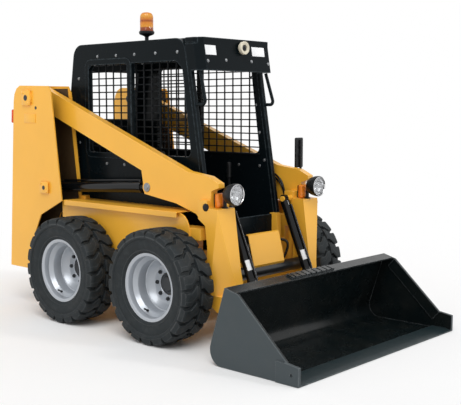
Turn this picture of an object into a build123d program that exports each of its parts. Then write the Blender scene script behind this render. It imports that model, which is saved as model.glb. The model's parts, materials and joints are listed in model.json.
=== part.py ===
from build123d import *
import math
import os

# Mini skid-steer loader. X points forward, Y to the left, Z up, the ground is z = 0.
# Lengths along X below run from the rear axle; the model is centred only when it is written.
# Outline tables hold (x, z) corners.

# Overall
REAR_OVERHANG = 948.0
BUCKET_REACH = 2244.0
CAB_HALF_WIDTH = 380.0
CAB_WALL = 35.0
FIT_GAP = 0.3

# Chassis widths, worked out from the cab's
CASE_LEDGE = 20.0
CASE_OVERHANG = 180.0
CASE_INNER = CAB_HALF_WIDTH - CAB_WALL - CASE_LEDGE
FRAME_HALF_WIDTH = CAB_HALF_WIDTH + CASE_OVERHANG

# Wheels
WHEELBASE = 938.0
TYRE_GAP = 19.0
TYRE_RADIUS = 387.5
TYRE_WIDTH = 264.0
TRACK = 2 * (FRAME_HALF_WIDTH + TYRE_GAP) + TYRE_WIDTH
LUG_HEIGHT = 22.0
LUG_COUNT = 21
LUG_WIDTH = 92.0
LUG_SWEEP = 42.0
LUG_INNER = 11.0
LUG_ROOT = 30.0
LUG_START = 180.0
LUG_SHIFT = 0.5
SHOULDER_DROP = 22.0
SHOULDER_WIDTH = 24.0
SIDEWALL_RADIUS = 300.0
RIM_RADIUS = 212.0
RIM_WALL = 9.0
FLANGE_HEIGHT = 17.0
RIM_WIDTH = 208.0
BEAD_SEAT = 44.0
WELL_RADIUS = 185.0
WELL_OUTER = 36.0
WELL_INNER = -50.0
DISC_FACE = -78.0
DISC_THICKNESS = 12.0
DISC_HOLE_RADIUS = 76.0
DISH_RADIUS = 128.0
DISH_EDGE = -36.0
HUB_RADIUS = 68.0
HUB_STICKOUT = 16.0
HUB_FLANGE = 124.0
NUT_COUNT = 8
NUT_CIRCLE = 102.0
NUT_RADIUS = 13.5
NUT_SIDES = 6
NUT_HEIGHT = 12.0
AXLE_RADIUS = 62.0
AXLE_LENGTH = 45.0

# Chassis
CHAIN_CASE_BOTTOM = 205.0
CHAIN_CASE_TOP = 600.0
CHAIN_CASE_BACK = -330.0
CHAIN_CASE_FRONT = 1080.0
PLATE = 10.0
BELLY_BACK = -885.0
SIDE_PLATE_BACK = -300.0
SIDE_PLATE_FRONT = 1064.0
SIDE_PLATE_CORNER = 108.0
FENDER_TOP = 874.0
FENDER_OVERHANG = 40.0
FENDER_EDGE = FRAME_HALF_WIDTH + FENDER_OVERHANG
FENDER_BACK = -229.0
FENDER_FRONT = 983.0
FENDER_PLATE = 8.0
FENDER_LIP = 40.0
FLOOR_HEIGHT = 470.0
SEAT_SHELF_FRONT = 520.0
UPRIGHT_FRONT = 1128.0
UPRIGHT_DEPTH = 70.0
UPRIGHT_WIDTH = 36.0
SILL_TOP = 795.0
STOP_DEPTH = 86.0
STOP_FRONT = 1160.0
STOP_TOP = 772.0
STOP_HEIGHT = 80.0
STOP_WIDTH = 110.0
BUMPER_BEAM = 20.0
BUMPER_HEIGHT = 110.0
BUMPER_DROP = 1.0
BUMPER_INSET = 20.0
TIE_HOLE_RADIUS = 14.0
TIE_HOLE_EDGE = 12.0
TIE_LUG_WIDTH = 20.0
TIE_LUG_SPACING = 640.0

# Boom towers
TOWER_GAP = 40.0
TOWER_WIDTH = 200.0
TOWER_INNER = CAB_HALF_WIDTH + TOWER_GAP
TOWER_OUTER = TOWER_INNER + TOWER_WIDTH
TOWER_OUTLINE = [
    (-912, 300), (-824, 1618), (-811, 1675), (-782, 1718), (-738, 1741), (-374, 1732), (-340, 1681),
    (-230, 866), (-495, 742), (-573, 601), (-620, 300),
]
TOWER_CAP_END = 5
TOWER_FLOOR_FRONT = -622.0
PIVOT_BOSS_RADIUS = 62.0
PIVOT_PIN_RADIUS = 30.0
LIFT_BOSS_RADIUS = 44.0
LIFT_PIN_RADIUS = 22.0
BOSS_HEIGHT = 12.0

# Linkage points, (x, z)
BOOM_PIVOT = (-640, 1645)
LIFT_BASE = (-430, 957)
LIFT_EYE = (603, 1012)
TILT_BASE = (1185, 911)
TILT_EYE = (1450, 300)
BUCKET_HINGE = (1390, 170)

# Boom
ARM_STANDOFF = 100.0
ARM_Y = CAB_HALF_WIDTH + ARM_STANDOFF
ARM_WIDTH = 60.0
ARM_WALL = 8.0
ARM_DEPTH = 168.0
ARM_END_RADIUS = 92.0
KNEE_TOP = (1000, 1141)
ARM_OUTLINE = [
    (-600, 1737), KNEE_TOP, (1105, 1128), (1194, 1117), (1285, 1075), (1285, 1045), (1222, 1022),
    (1208, 905), (1170, 780), (1081, 862),
    (892, 919), (640, 955), (575, 965), (545, 1128), (-600, 1558),
]
BRACKET_RADIUS = 46.0
BRACKET_SLOT = [(480, 900), (480, 1122), (790, 1122), (790, 900)]
LEG_SHIFT = 24.0
LEG_WIDTH = 170.0
LEG_Y = ARM_Y - LEG_SHIFT
LEG_INNER = LEG_Y - LEG_WIDTH / 2
LEG_OUTER = LEG_Y + LEG_WIDTH / 2
LEG_OUTLINE = [
    (1130, 835), (1130, 960), (1212, 960), (1212, 912), (1304, 908), (1362, 490), (1432, 180),
    (1345, 180), (1212, 262), (1212, 660), (1193, 794),
]
FOLD_TOP = (1304, 870)
FOLD_FRONT = (1362, 490)
FOLD_BACK = (1213, 215)
FOLD_INSET = 82.0
LEG_FOOT_TOP = 330.0
FOOT_WIDTH = 120.0
FOOT_INNER = LEG_Y - FOOT_WIDTH / 2
FOOT_OUTER = LEG_Y + FOOT_WIDTH / 2
HINGE_BOSS_RADIUS = 50.0
HINGE_PIN_RADIUS = 22.0
CROSS_TUBE = (1262, 440)
CROSS_TUBE_RADIUS = 44.0
CROSS_TUBE_WALL = 8.0
GUSSET_RADIUS = 60.0
APRON_OUTLINE = [(1226, 700), (1246, 694), (1300, 490), (1290, 470)]
TILT_STANDOFF = 71.0
TILT_Y = LEG_INNER - TILT_STANDOFF
APRON_GAP = 135.0
APRON_HALF_WIDTH = TILT_Y - APRON_GAP
APRON_PLATE = 6.0
APRON_RIB_INSET = 35.0
APRON_RIB_Y = APRON_HALF_WIDTH - APRON_RIB_INSET

# Cylinders
LIFT_BARREL_RADIUS = 40.0
LIFT_BORE_RADIUS = 32.0
LIFT_ROD_RADIUS = 20.0
LIFT_BARREL_END = 962.0
LIFT_ROD_LENGTH = 945.0
LIFT_EYE_RADIUS = 38.0
LIFT_EYE_WIDTH = 36.0
TILT_BARREL_RADIUS = 34.0
TILT_BORE_RADIUS = 27.0
TILT_ROD_RADIUS = 18.0
TILT_BARREL_END = 560.0
TILT_ROD_LENGTH = 520.0
TILT_EYE_RADIUS = 30.0
TILT_EYE_WIDTH = 30.0
TILT_PIN_RADIUS = 20.0
PISTON_LENGTH = 30.0
CAP_LENGTH = 18.0
GLAND_LENGTH = 30.0
GLAND_STEP = 3.0
PIPE_RADIUS = 8.0
PIPE_OFFSET = 9.0

# Coupler and bucket
BUCKET_HALF_WIDTH = 875.0
BUCKET_GROUND_GAP = 3.0
BUCKET_BACK_TOP = (1674, 495)
BUCKET_CORNER_X = 1517.0
HEEL_RADIUS = 96.0
BUCKET_SHEET = 9.0
BUCKET_SIDE = 12.0
SIDE_TOP = (1777, 467)
SIDE_CHEEK = (2150, 127)
TIP_HEIGHT = 114.0
LIP_WIDTH = 82.0
TREAD_WIDTH = 58.0
TREAD_HEIGHT = 12.0
TREAD_LEFT = 150.0
TREAD_RIGHT = -300.0
TREAD_SLOTS = 8
TREAD_SLOT = 16.0
DOUBLER_WIDTH = 80.0
DOUBLER_PLATE = 8.0
CUTTER_LENGTH = 168.0
CUTTER_PLATE = 10.0
CUTTER_HOLE = (2192, 62)
CUTTER_HOLE_RADIUS = 11.0
EDGE_LENGTH = 150.0
EDGE_THICKNESS = 18.0
EDGE_BEVEL = 40.0
ATTACH_LOW = 30.0
ATTACH_HIGH = 350.0
ATTACH_PLATE = 16.0
COUPLER_PLATE = 20.0
EAR_PLATE = 15.0
EAR_GAP = 5.0
ATTACH_EDGE = 24.0
ATTACH_HALF_WIDTH = FOOT_OUTER + EAR_GAP + EAR_PLATE + ATTACH_EDGE
TILT_EAR_PLATE = 12.0
TILT_EAR_GAP = 4.0
EAR_RADIUS = 44.0
EAR_ROOT_HIGH = 130.0
TILT_ROOT_LOW = 40.0
TILT_ROOT_HIGH = 240.0

# Cab
CAB_FLOOR = 600.0
CAB_EAVES = 2005.0
ROOF_TOP = 2045.0
ROOF_FRONT = 994.0
CAB_FRONT_TOP = 850.0
FRONT_SLOPE = 0.165
CAB_OUTLINE = [
    (-447, CAB_FLOOR), (-447, 1398), (-351, ROOF_TOP),
    (CAB_FRONT_TOP - (ROOF_TOP - CAB_EAVES) * FRONT_SLOPE, ROOF_TOP),
    (CAB_FRONT_TOP + (CAB_EAVES - CAB_FLOOR) * FRONT_SLOPE, CAB_FLOOR),
]
CAB_CORNER = 100.0
ROOF_BEND_LOW = 1936.0
REAR_WALL_TOP = 1928.0
WINDOW_OUTLINE = [(-187, 1230), (-187, 1850), (-147, 1890), (768, 1890), (828, 1837), (912, 1230)]
WINDOW_CORNER = 40.0
WINDOW_POST_X = 281.0
WINDOW_POST_WIDTH = 44.0
CORNER_CUT = 44.0
FRONT_HALF_WIDTH = CAB_HALF_WIDTH - CORNER_CUT
PILLAR_BOTTOM = 800.0
PILLAR_DEPTH = 30.0
CORNER_DEPTH = 60.0
CORNER_POST = 18.0
HEADER_BOTTOM = 1820.0
HEADER_DEPTH = 40.0
REAR_WINDOW_EDGE = 100.0
REAR_WINDOW_HALF_WIDTH = CAB_HALF_WIDTH - REAR_WINDOW_EDGE
REAR_WINDOW_LOW = 1470.0
REAR_WINDOW_HIGH = 1850.0
MESH_PITCH_X = 84.0
MESH_PITCH_Z = 51.0
MESH_WIRE = 9.0
MESH_OVERLAP = 10.0
HANDLE_TOP = (968, 345)
HANDLE_FRONT = (1033, 361)
HANDLE_LOW = 1590.0
HANDLE_BEND = 26.0
HANDLE_RADIUS = 12.0
SEAT_BACK_X = 60.0
SEAT_LENGTH = 480.0
SEAT_HALF_WIDTH = 240.0
SEAT_BASE_HEIGHT = 130.0
CUSHION_THICKNESS = 110.0
BACKREST_HEIGHT = 520.0
BACKREST_THICKNESS = 110.0
LEVER_X = 690.0
LEVER_GAP = 75.0
LEVER_Y = CASE_INNER - LEVER_GAP
LEVER_HEIGHT = 480.0
LEVER_RADIUS = 11.0
GRIP_RADIUS = 19.0
GRIP_LENGTH = 120.0
LEVER_BOX = 70.0

# Engine, hood and rear door
ENGINE_BACK = -830.0
ENGINE_FRONT = -480.0
ENGINE_HALF_WIDTH = 255.0
ENGINE_TOP = 960.0
HOOD_FRONT = (-459, 1400)
HOOD_BACK_Z = 1255.0
HOOD_PLATE = 26.0
DOOR_LOW = 120.0
DOOR_HIGH = 930.0
DOOR_GAP = 8.0
DOOR_HALF_WIDTH = TOWER_INNER - DOOR_GAP
DOOR_THICKNESS = 30.0
DOOR_STANDOFF = 8.0
LOUVRE_COUNT = 7
LOUVRE_HEIGHT = 24.0
LOUVRE_PITCH = 62.0
LOUVRE_EDGE = 122.0
LOUVRE_HALF_WIDTH = DOOR_HALF_WIDTH - LOUVRE_EDGE
LOUVRE_LOW = 400.0
KNUCKLE_RADIUS = 11.0
KNUCKLE_LENGTH = 60.0
HINGE_Y = DOOR_HALF_WIDTH + KNUCKLE_RADIUS * 2
KNUCKLE_HEIGHTS = (220.0, 800.0)

# Lamps, beacon and mirror
LAMP_SHIFT = 11.0
LAMP_Y = LEG_Y - LAMP_SHIFT
LAMP_LENS = (1392, 1004)
LAMP_RADIUS = 74.0
LAMP_DEPTH = 100.0
LAMP_BACK_RADIUS = 42.0
LAMP_RING = 16.0
LAMP_FOOT_RADIUS = 16.0
LAMP_FOOT_X = 1285.0
BLINKER_BACK = 1225.0
BLINKER_DEPTH = 41.0
BLINKER_WIDTH = 92.0
BLINKER_HEIGHT = 96.0
MIRROR_X = 1110.0
MIRROR_STANDOFF = 82.0
MIRROR_Y = ARM_Y + MIRROR_STANDOFF
MIRROR_WIDTH = 88.0
MIRROR_LOW = 1122.0
MIRROR_HIGH = 1346.0
MIRROR_THICKNESS = 16.0
MIRROR_POST_RADIUS = 9.0
MIRROR_POST_GAP = 3.0
MIRROR_STUB_RADIUS = 7.0
MIRROR_CLAMP_DROP = 60.0
WORK_LAMP_Z = 1985.0
WORK_LAMP_Y = 37.0
WORK_LAMP_RADIUS = 46.0
WORK_LAMP_DEPTH = 34.0
BEACON_X = 60.0
BEACON_BASE_RADIUS = 60.0
BEACON_BASE_HEIGHT = 34.0
BEACON_STEM_RADIUS = 15.0
BEACON_STEM_HEIGHT = 75.0
BEACON_LENS_RADIUS = 53.0
BEACON_LENS_HEIGHT = 144.0
BEACON_DOME = 22.0
TAIL_LAMP_Z = 1500.0
TAIL_LAMP_HEIGHT = 110.0
TAIL_LAMP_WIDTH = 60.0
TAIL_LAMP_DEPTH = 40.0
TAIL_LAMP_INSET = 70.0
TAIL_LAMP_Y = TOWER_OUTER - TAIL_LAMP_INSET

TOWER_SLOPE = math.atan2(
    TOWER_OUTLINE[1][0] - TOWER_OUTLINE[0][0], TOWER_OUTLINE[1][1] - TOWER_OUTLINE[0][1]
)
REAR_PLANE = Plane(
    origin=(TOWER_OUTLINE[0][0], 0, TOWER_OUTLINE[0][1]),
    x_dir=(math.cos(TOWER_SLOPE), 0, -math.sin(TOWER_SLOPE)),
    z_dir=(math.sin(TOWER_SLOPE), 0, math.cos(TOWER_SLOPE)),
)
BACK_ANGLE = math.atan2(
    BUCKET_BACK_TOP[0] - BUCKET_CORNER_X, BUCKET_BACK_TOP[1] - BUCKET_GROUND_GAP
)
# Plane on the bucket's back: x points out of the back, z up along it.
BACK_PLANE = Plane(
    origin=(BUCKET_CORNER_X, 0, BUCKET_GROUND_GAP),
    x_dir=(-math.cos(BACK_ANGLE), 0, math.sin(BACK_ANGLE)),
    z_dir=(math.sin(BACK_ANGLE), 0, math.cos(BACK_ANGLE)),
)
WHEELS = {
    "front_left": (WHEELBASE, 1),
    "front_right": (WHEELBASE, -1),
    "rear_left": (0, 1),
    "rear_right": (0, -1),
}


def side_plane(y):
    """Plane of a side view at one y: local x is X, local y is Z."""
    return Plane((0, y, 0), x_dir=(1, 0, 0), z_dir=(0, -1, 0))


def slab(outline, y_low, y_high):
    """Plate of an (x, z) outline between two values of y."""
    face = make_face(Polyline(*outline, close=True))
    return extrude(side_plane(y_high) * face, y_high - y_low, dir=(0, -1, 0))


def block(x_low, x_high, y_low, y_high, z_low, z_high):
    """Box between given limits."""
    centre = ((x_low + x_high) / 2, (y_low + y_high) / 2, (z_low + z_high) / 2)
    return Pos(*centre) * Box(x_high - x_low, y_high - y_low, z_high - z_low)


def bar_y(point, radius, y_low, y_high):
    """Round bar along Y through an (x, z) point."""
    bar = Rot(90, 0, 0) * Cylinder(radius, y_high - y_low)
    return Pos(point[0], (y_low + y_high) / 2, point[1]) * bar


def bar_along(start, end, y, radius, first, last, offset=0.0):
    """Round bar on the line from start to end, between two distances from start."""
    run = math.hypot(end[0] - start[0], end[1] - start[1])
    along = ((end[0] - start[0]) / run, (end[1] - start[1]) / run)
    origin = (
        start[0] + along[0] * first - along[1] * offset,
        y,
        start[1] + along[1] * first + along[0] * offset,
    )
    line = Plane(origin, z_dir=(along[0], 0, along[1]))
    return line * Cylinder(radius, last - first, align=(Align.CENTER, Align.CENTER, Align.MIN))


def distance(start, end):
    """Length between two (x, z) points."""
    return math.hypot(end[0] - start[0], end[1] - start[1])


def to_right(shape):
    """The same piece on the right side."""
    return mirror(shape, about=Plane.XZ)


def both_sides(shape):
    """The left piece with its mirror image."""
    return [shape, to_right(shape)]


def ring(profile):
    """Solid turned about the axle from (radius, y) corners."""
    return revolve(make_face(Polyline(*profile, close=True)), Axis.Y)


def lug(side, angle):
    """One bent tread bar on one half of the tyre."""
    half = TYRE_WIDTH / 2
    bend = half - SHOULDER_WIDTH * 2
    bar = [
        (-LUG_SWEEP - LUG_WIDTH / 2, LUG_INNER),
        (-LUG_SWEEP + LUG_WIDTH / 2, LUG_INNER),
        (LUG_WIDTH / 2, bend),
        (LUG_WIDTH / 2, half - FIT_GAP),
        (-LUG_WIDTH / 2, half - FIT_GAP),
        (-LUG_WIDTH / 2, bend),
    ]
    points = [(x, side * y) for x, y in bar]
    root = TYRE_RADIUS - LUG_HEIGHT - LUG_ROOT
    face = Pos(0, 0, root) * make_face(Polyline(*points, close=True))
    raised = extrude(face, LUG_HEIGHT + LUG_ROOT + LUG_HEIGHT, dir=(0, 0, 1))
    return Rot(0, angle, 0) * raised


def tyre():
    """Tyre with two rows of lugs, half a pitch apart, inside one round outline."""
    half = TYRE_WIDTH / 2
    body = TYRE_RADIUS - LUG_HEIGHT
    bead = RIM_RADIUS + FIT_GAP
    rim_half = RIM_WIDTH / 2
    profile = [
        (bead, -rim_half + RIM_WALL + FIT_GAP),
        (bead, rim_half - RIM_WALL - FIT_GAP),
        (RIM_RADIUS + FLANGE_HEIGHT, rim_half - RIM_WALL - FIT_GAP),
        (RIM_RADIUS + FLANGE_HEIGHT + FIT_GAP, rim_half),
        (SIDEWALL_RADIUS, half),
        (body - SHOULDER_DROP, half - SHOULDER_WIDTH / 4),
        (body, half - SHOULDER_WIDTH),
        (body, -half + SHOULDER_WIDTH),
        (body - SHOULDER_DROP, -half + SHOULDER_WIDTH / 4),
        (SIDEWALL_RADIUS, -half),
        (RIM_RADIUS + FLANGE_HEIGHT + FIT_GAP, -rim_half),
        (RIM_RADIUS + FLANGE_HEIGHT, -rim_half + RIM_WALL + FIT_GAP),
    ]
    pitch = 360 / LUG_COUNT
    lugs = [
        lug(side, LUG_START + pitch * (index + shift))
        for side, shift in ((1, 0), (-1, LUG_SHIFT))
        for index in range(LUG_COUNT)
    ]
    outline = Rot(90, 0, 0) * Cylinder(TYRE_RADIUS, TYRE_WIDTH)
    tread = [bar & outline for bar in lugs]
    return ring(profile) + tread


def rim():
    """Drop-centre rim with a deep-set disc, its hub and a circle of wheel nuts."""
    half = RIM_WIDTH / 2
    flange = RIM_RADIUS + FLANGE_HEIGHT
    outside = [
        (flange, half),
        (flange, half - RIM_WALL),
        (RIM_RADIUS, half - RIM_WALL),
        (RIM_RADIUS, half - BEAD_SEAT),
        (WELL_RADIUS, WELL_OUTER),
        (WELL_RADIUS, WELL_INNER),
        (RIM_RADIUS, BEAD_SEAT - half),
        (RIM_RADIUS, RIM_WALL - half),
        (flange, RIM_WALL - half),
        (flange, -half),
    ]
    inside = [
        (RIM_RADIUS - RIM_WALL, -half),
        (RIM_RADIUS - RIM_WALL, BEAD_SEAT - half),
        (WELL_RADIUS - RIM_WALL, WELL_INNER),
        (WELL_RADIUS - RIM_WALL, WELL_OUTER),
        (RIM_RADIUS - RIM_WALL, half - BEAD_SEAT),
        (RIM_RADIUS - RIM_WALL, half),
    ]
    disc_back = DISC_FACE - DISC_THICKNESS
    weld = WELL_RADIUS - RIM_WALL / 2
    disc = ring([
        (DISC_HOLE_RADIUS, disc_back),
        (DISH_RADIUS, disc_back),
        (weld, DISH_EDGE - DISC_THICKNESS),
        (weld, DISH_EDGE),
        (DISH_RADIUS, DISC_FACE),
        (DISC_HOLE_RADIUS, DISC_FACE),
    ])
    axle_end = FRAME_HALF_WIDTH + AXLE_LENGTH - TRACK / 2
    hub = ring([
        (0, axle_end + FIT_GAP),
        (HUB_FLANGE, axle_end + FIT_GAP),
        (HUB_FLANGE, disc_back),
        (HUB_RADIUS, disc_back),
        (HUB_RADIUS, DISC_FACE + HUB_STICKOUT),
        (0, DISC_FACE + HUB_STICKOUT),
    ])
    nut = extrude(RegularPolygon(NUT_RADIUS, NUT_SIDES), NUT_HEIGHT + DISC_THICKNESS / 2)
    nut = Pos(NUT_CIRCLE, DISC_FACE - DISC_THICKNESS / 2, 0) * Rot(-90, 0, 0) * nut
    nuts = [Rot(0, index * 360 / NUT_COUNT, 0) * nut for index in range(NUT_COUNT)]
    return ring(outside + inside) + disc + hub + nuts


def placed_wheel(shape, x, side):
    """A left-hand wheel piece set on its axle."""
    piece = Pos(x, TRACK / 2, TYRE_RADIUS) * shape
    return piece if side > 0 else to_right(piece)


def chain_case():
    """Left chain case, a closed beam that carries two axles, with the side plate above it."""
    inner = CASE_INNER
    beam = block(
        CHAIN_CASE_BACK, CHAIN_CASE_FRONT, inner, FRAME_HALF_WIDTH, CHAIN_CASE_BOTTOM, CHAIN_CASE_TOP
    )
    beam -= block(
        CHAIN_CASE_BACK, CHAIN_CASE_FRONT - PLATE, inner + PLATE, FRAME_HALF_WIDTH - PLATE,
        CHAIN_CASE_BOTTOM + PLATE, CHAIN_CASE_TOP - PLATE,
    )
    side_top = FENDER_TOP - FENDER_PLATE
    outline = [
        (SIDE_PLATE_BACK, CHAIN_CASE_TOP - PLATE),
        (SIDE_PLATE_BACK, side_top),
        (SIDE_PLATE_FRONT, side_top),
        (SIDE_PLATE_FRONT, CHAIN_CASE_TOP - PLATE),
    ]
    side = slab(outline, FRAME_HALF_WIDTH - PLATE, FRAME_HALF_WIDTH)
    corner = side.edges().filter_by(Axis.Y).sort_by(Axis.Z)[-2:].sort_by(Axis.X)[-1]
    side = fillet(corner, SIDE_PLATE_CORNER)
    stop_outer = FRAME_HALF_WIDTH - PLATE
    stop = block(
        SIDE_PLATE_FRONT - STOP_DEPTH, STOP_FRONT, stop_outer - STOP_WIDTH, stop_outer,
        STOP_TOP - STOP_HEIGHT, STOP_TOP,
    )
    stop_leg = block(
        SIDE_PLATE_FRONT - STOP_DEPTH, CHAIN_CASE_FRONT, stop_outer - STOP_WIDTH, stop_outer,
        CHAIN_CASE_TOP - PLATE, STOP_TOP,
    )
    upright = block(
        UPRIGHT_FRONT - UPRIGHT_DEPTH, UPRIGHT_FRONT, inner - UPRIGHT_WIDTH, inner + PLATE,
        FLOOR_HEIGHT + PLATE, PILLAR_BOTTOM,
    )
    rail = block(
        BELLY_BACK, CHAIN_CASE_BACK + PLATE, inner, inner + PLATE, CHAIN_CASE_BOTTOM, CHAIN_CASE_TOP
    )
    tower_base = TOWER_OUTLINE[0][1]
    rail += block(BELLY_BACK, TOWER_FLOOR_FRONT, inner, TOWER_INNER, tower_base, tower_base + PLATE)
    axles = [
        bar_y((x, TYRE_RADIUS), AXLE_RADIUS, FRAME_HALF_WIDTH - PLATE, FRAME_HALF_WIDTH + AXLE_LENGTH)
        for x in (0, WHEELBASE)
    ]
    return beam + side + stop + stop_leg + upright + rail + axles


def main_frame():
    """Lower frame: two chain cases joined by the belly plate and the toe plate."""
    inner = CASE_INNER
    belly = block(
        BELLY_BACK, CHAIN_CASE_FRONT, -inner, inner, CHAIN_CASE_BOTTOM, CHAIN_CASE_BOTTOM + PLATE
    )
    toe = block(
        CHAIN_CASE_FRONT - PLATE, CHAIN_CASE_FRONT, -inner, inner, CHAIN_CASE_BOTTOM, FLOOR_HEIGHT
    )
    left = chain_case()
    return belly + toe + left + to_right(left)


def cab_floor():
    """Cab floor with the riser and shelf under the seat and the sill across the front."""
    inner = CASE_INNER
    top = FLOOR_HEIGHT + PLATE
    floor = block(SEAT_SHELF_FRONT, CHAIN_CASE_FRONT, -inner, inner, FLOOR_HEIGHT, top)
    riser = block(
        SEAT_SHELF_FRONT, SEAT_SHELF_FRONT + PLATE, -inner, inner, FLOOR_HEIGHT, CHAIN_CASE_TOP
    )
    shelf = block(
        CAB_OUTLINE[0][0], SEAT_SHELF_FRONT + PLATE, -inner, inner, CHAIN_CASE_TOP - PLATE, CHAIN_CASE_TOP
    )
    sill_half = inner - UPRIGHT_WIDTH
    sill = block(
        CHAIN_CASE_FRONT - PLATE, CHAIN_CASE_FRONT, -sill_half, sill_half, FLOOR_HEIGHT, SILL_TOP
    )
    return floor + riser + shelf + sill


def tower():
    """Left boom tower: two plates joined by a rear wall, a floor and a cap, with pin bosses."""
    outer = slab(TOWER_OUTLINE, TOWER_OUTER - PLATE, TOWER_OUTER)
    inner = slab(TOWER_OUTLINE, TOWER_INNER, TOWER_INNER + PLATE)
    height = distance(TOWER_OUTLINE[0], TOWER_OUTLINE[1])
    wall_y = (TOWER_INNER + TOWER_OUTER) / 2
    wall = Pos(PLATE / 2, wall_y, height / 2) * Box(PLATE, TOWER_OUTER - TOWER_INNER - PLATE, height)
    rear_wall = REAR_PLANE * wall
    cap_line = TOWER_OUTLINE[1:TOWER_CAP_END]
    cap_outline = cap_line + [(x + PLATE, z - PLATE) for x, z in reversed(cap_line)]
    cap = slab(cap_outline, TOWER_INNER + PLATE / 2, TOWER_OUTER - PLATE / 2)
    floor_z = TOWER_OUTLINE[0][1]
    floor = block(
        TOWER_OUTLINE[0][0] + PLATE, TOWER_FLOOR_FRONT, TOWER_INNER + PLATE / 2, TOWER_OUTER - PLATE / 2,
        floor_z, floor_z + PLATE,
    )
    shape = outer + inner + rear_wall + cap + floor
    for point, boss_radius in ((BOOM_PIVOT, PIVOT_BOSS_RADIUS), (LIFT_BASE, LIFT_BOSS_RADIUS)):
        shape += bar_y(point, boss_radius, TOWER_OUTER - PLATE / 2, TOWER_OUTER + BOSS_HEIGHT)
    for point, pin_radius in ((BOOM_PIVOT, PIVOT_PIN_RADIUS), (LIFT_BASE, LIFT_PIN_RADIUS)):
        shape -= bar_y(point, pin_radius + FIT_GAP, TOWER_INNER - PLATE, TOWER_OUTER + BOSS_HEIGHT + PLATE)
    return shape


def door_bracket():
    """Fixed hinge knuckles of the rear door, on the left tower's back."""
    pieces = []
    axis_x = -DOOR_STANDOFF - DOOR_THICKNESS / 2
    for height in KNUCKLE_HEIGHTS:
        centre = height - KNUCKLE_LENGTH - FIT_GAP
        knuckle = Pos(axis_x, HINGE_Y, centre) * Cylinder(KNUCKLE_RADIUS, KNUCKLE_LENGTH)
        arm = Pos(axis_x / 2, HINGE_Y, centre) * Box(-axis_x, KNUCKLE_RADIUS, KNUCKLE_LENGTH)
        pieces += [REAR_PLANE * knuckle, REAR_PLANE * arm]
    return pieces


def chassis_pins():
    """Boom pivot pins and lift cylinder pins, held in the towers' plates."""
    head = TOWER_OUTER + BOSS_HEIGHT
    pins = []
    for point, radius in ((BOOM_PIVOT, PIVOT_PIN_RADIUS), (LIFT_BASE, LIFT_PIN_RADIUS)):
        pins += both_sides(bar_y(point, radius, TOWER_INNER, head))
    return pins


def fender():
    """Left fender: a flat top with a turned-down edge over both wheels."""
    top = block(
        FENDER_BACK, FENDER_FRONT, CAB_HALF_WIDTH + FIT_GAP, FENDER_EDGE,
        FENDER_TOP - FENDER_PLATE, FENDER_TOP,
    )
    lip = block(
        FENDER_BACK, FENDER_FRONT, FENDER_EDGE - FENDER_PLATE, FENDER_EDGE,
        FENDER_TOP - FENDER_LIP, FENDER_TOP,
    )
    return top + lip


def rear_bumper():
    """Rear cross beam with two tie-down lugs."""
    high = TOWER_OUTLINE[0][1] - BUMPER_DROP
    low = high - BUMPER_HEIGHT
    half = CAB_HALF_WIDTH - BUMPER_INSET
    shape = block(BELLY_BACK - BUMPER_BEAM, BELLY_BACK, -half, half, low, high)
    hole = (-REAR_OVERHANG + TIE_HOLE_RADIUS + TIE_HOLE_EDGE, (low + high) / 2)
    for side in (1, -1):
        lug_low = side * TIE_LUG_SPACING / 2 - TIE_LUG_WIDTH / 2
        lug_high = lug_low + TIE_LUG_WIDTH
        shape += block(-REAR_OVERHANG, BELLY_BACK - BUMPER_BEAM / 2, lug_low, lug_high, low, high)
        shape -= bar_y(hole, TIE_HOLE_RADIUS, lug_low, lug_high)
    return shape


def engine_block():
    """Engine as one plain block on the belly plate."""
    base = CHAIN_CASE_BOTTOM + PLATE
    return block(ENGINE_BACK, ENGINE_FRONT, -ENGINE_HALF_WIDTH, ENGINE_HALF_WIDTH, base, ENGINE_TOP)


def engine_hood():
    """Sloping engine cover between the towers."""
    back_x = TOWER_OUTLINE[0][0] + (HOOD_BACK_Z - TOWER_OUTLINE[0][1]) * math.tan(TOWER_SLOPE)
    outline = [
        HOOD_FRONT,
        (HOOD_FRONT[0], HOOD_FRONT[1] - HOOD_PLATE),
        (back_x, HOOD_BACK_Z - HOOD_PLATE),
        (back_x, HOOD_BACK_Z),
    ]
    half = TOWER_INNER - FIT_GAP
    return slab(outline, -half, half)


def rear_door():
    """Louvred rear door, hung on knuckles at its left edge."""
    x_mid = -DOOR_STANDOFF - DOOR_THICKNESS / 2
    height = DOOR_HIGH - DOOR_LOW
    panel = Pos(x_mid, 0, DOOR_LOW + height / 2) * Box(DOOR_THICKNESS, DOOR_HALF_WIDTH * 2, height)
    for index in range(LOUVRE_COUNT):
        slot = Box(DOOR_THICKNESS * 2, LOUVRE_HALF_WIDTH * 2, LOUVRE_HEIGHT)
        panel -= Pos(x_mid, 0, LOUVRE_LOW + index * LOUVRE_PITCH) * slot
    for knuckle_z in KNUCKLE_HEIGHTS:
        panel += Pos(x_mid, HINGE_Y, knuckle_z) * Cylinder(KNUCKLE_RADIUS, KNUCKLE_LENGTH)
        leaf = Box(KNUCKLE_RADIUS, HINGE_Y - DOOR_HALF_WIDTH + KNUCKLE_RADIUS, KNUCKLE_LENGTH)
        panel += Pos(x_mid, (HINGE_Y + DOOR_HALF_WIDTH - KNUCKLE_RADIUS) / 2, knuckle_z) * leaf
    return REAR_PLANE * panel


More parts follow.
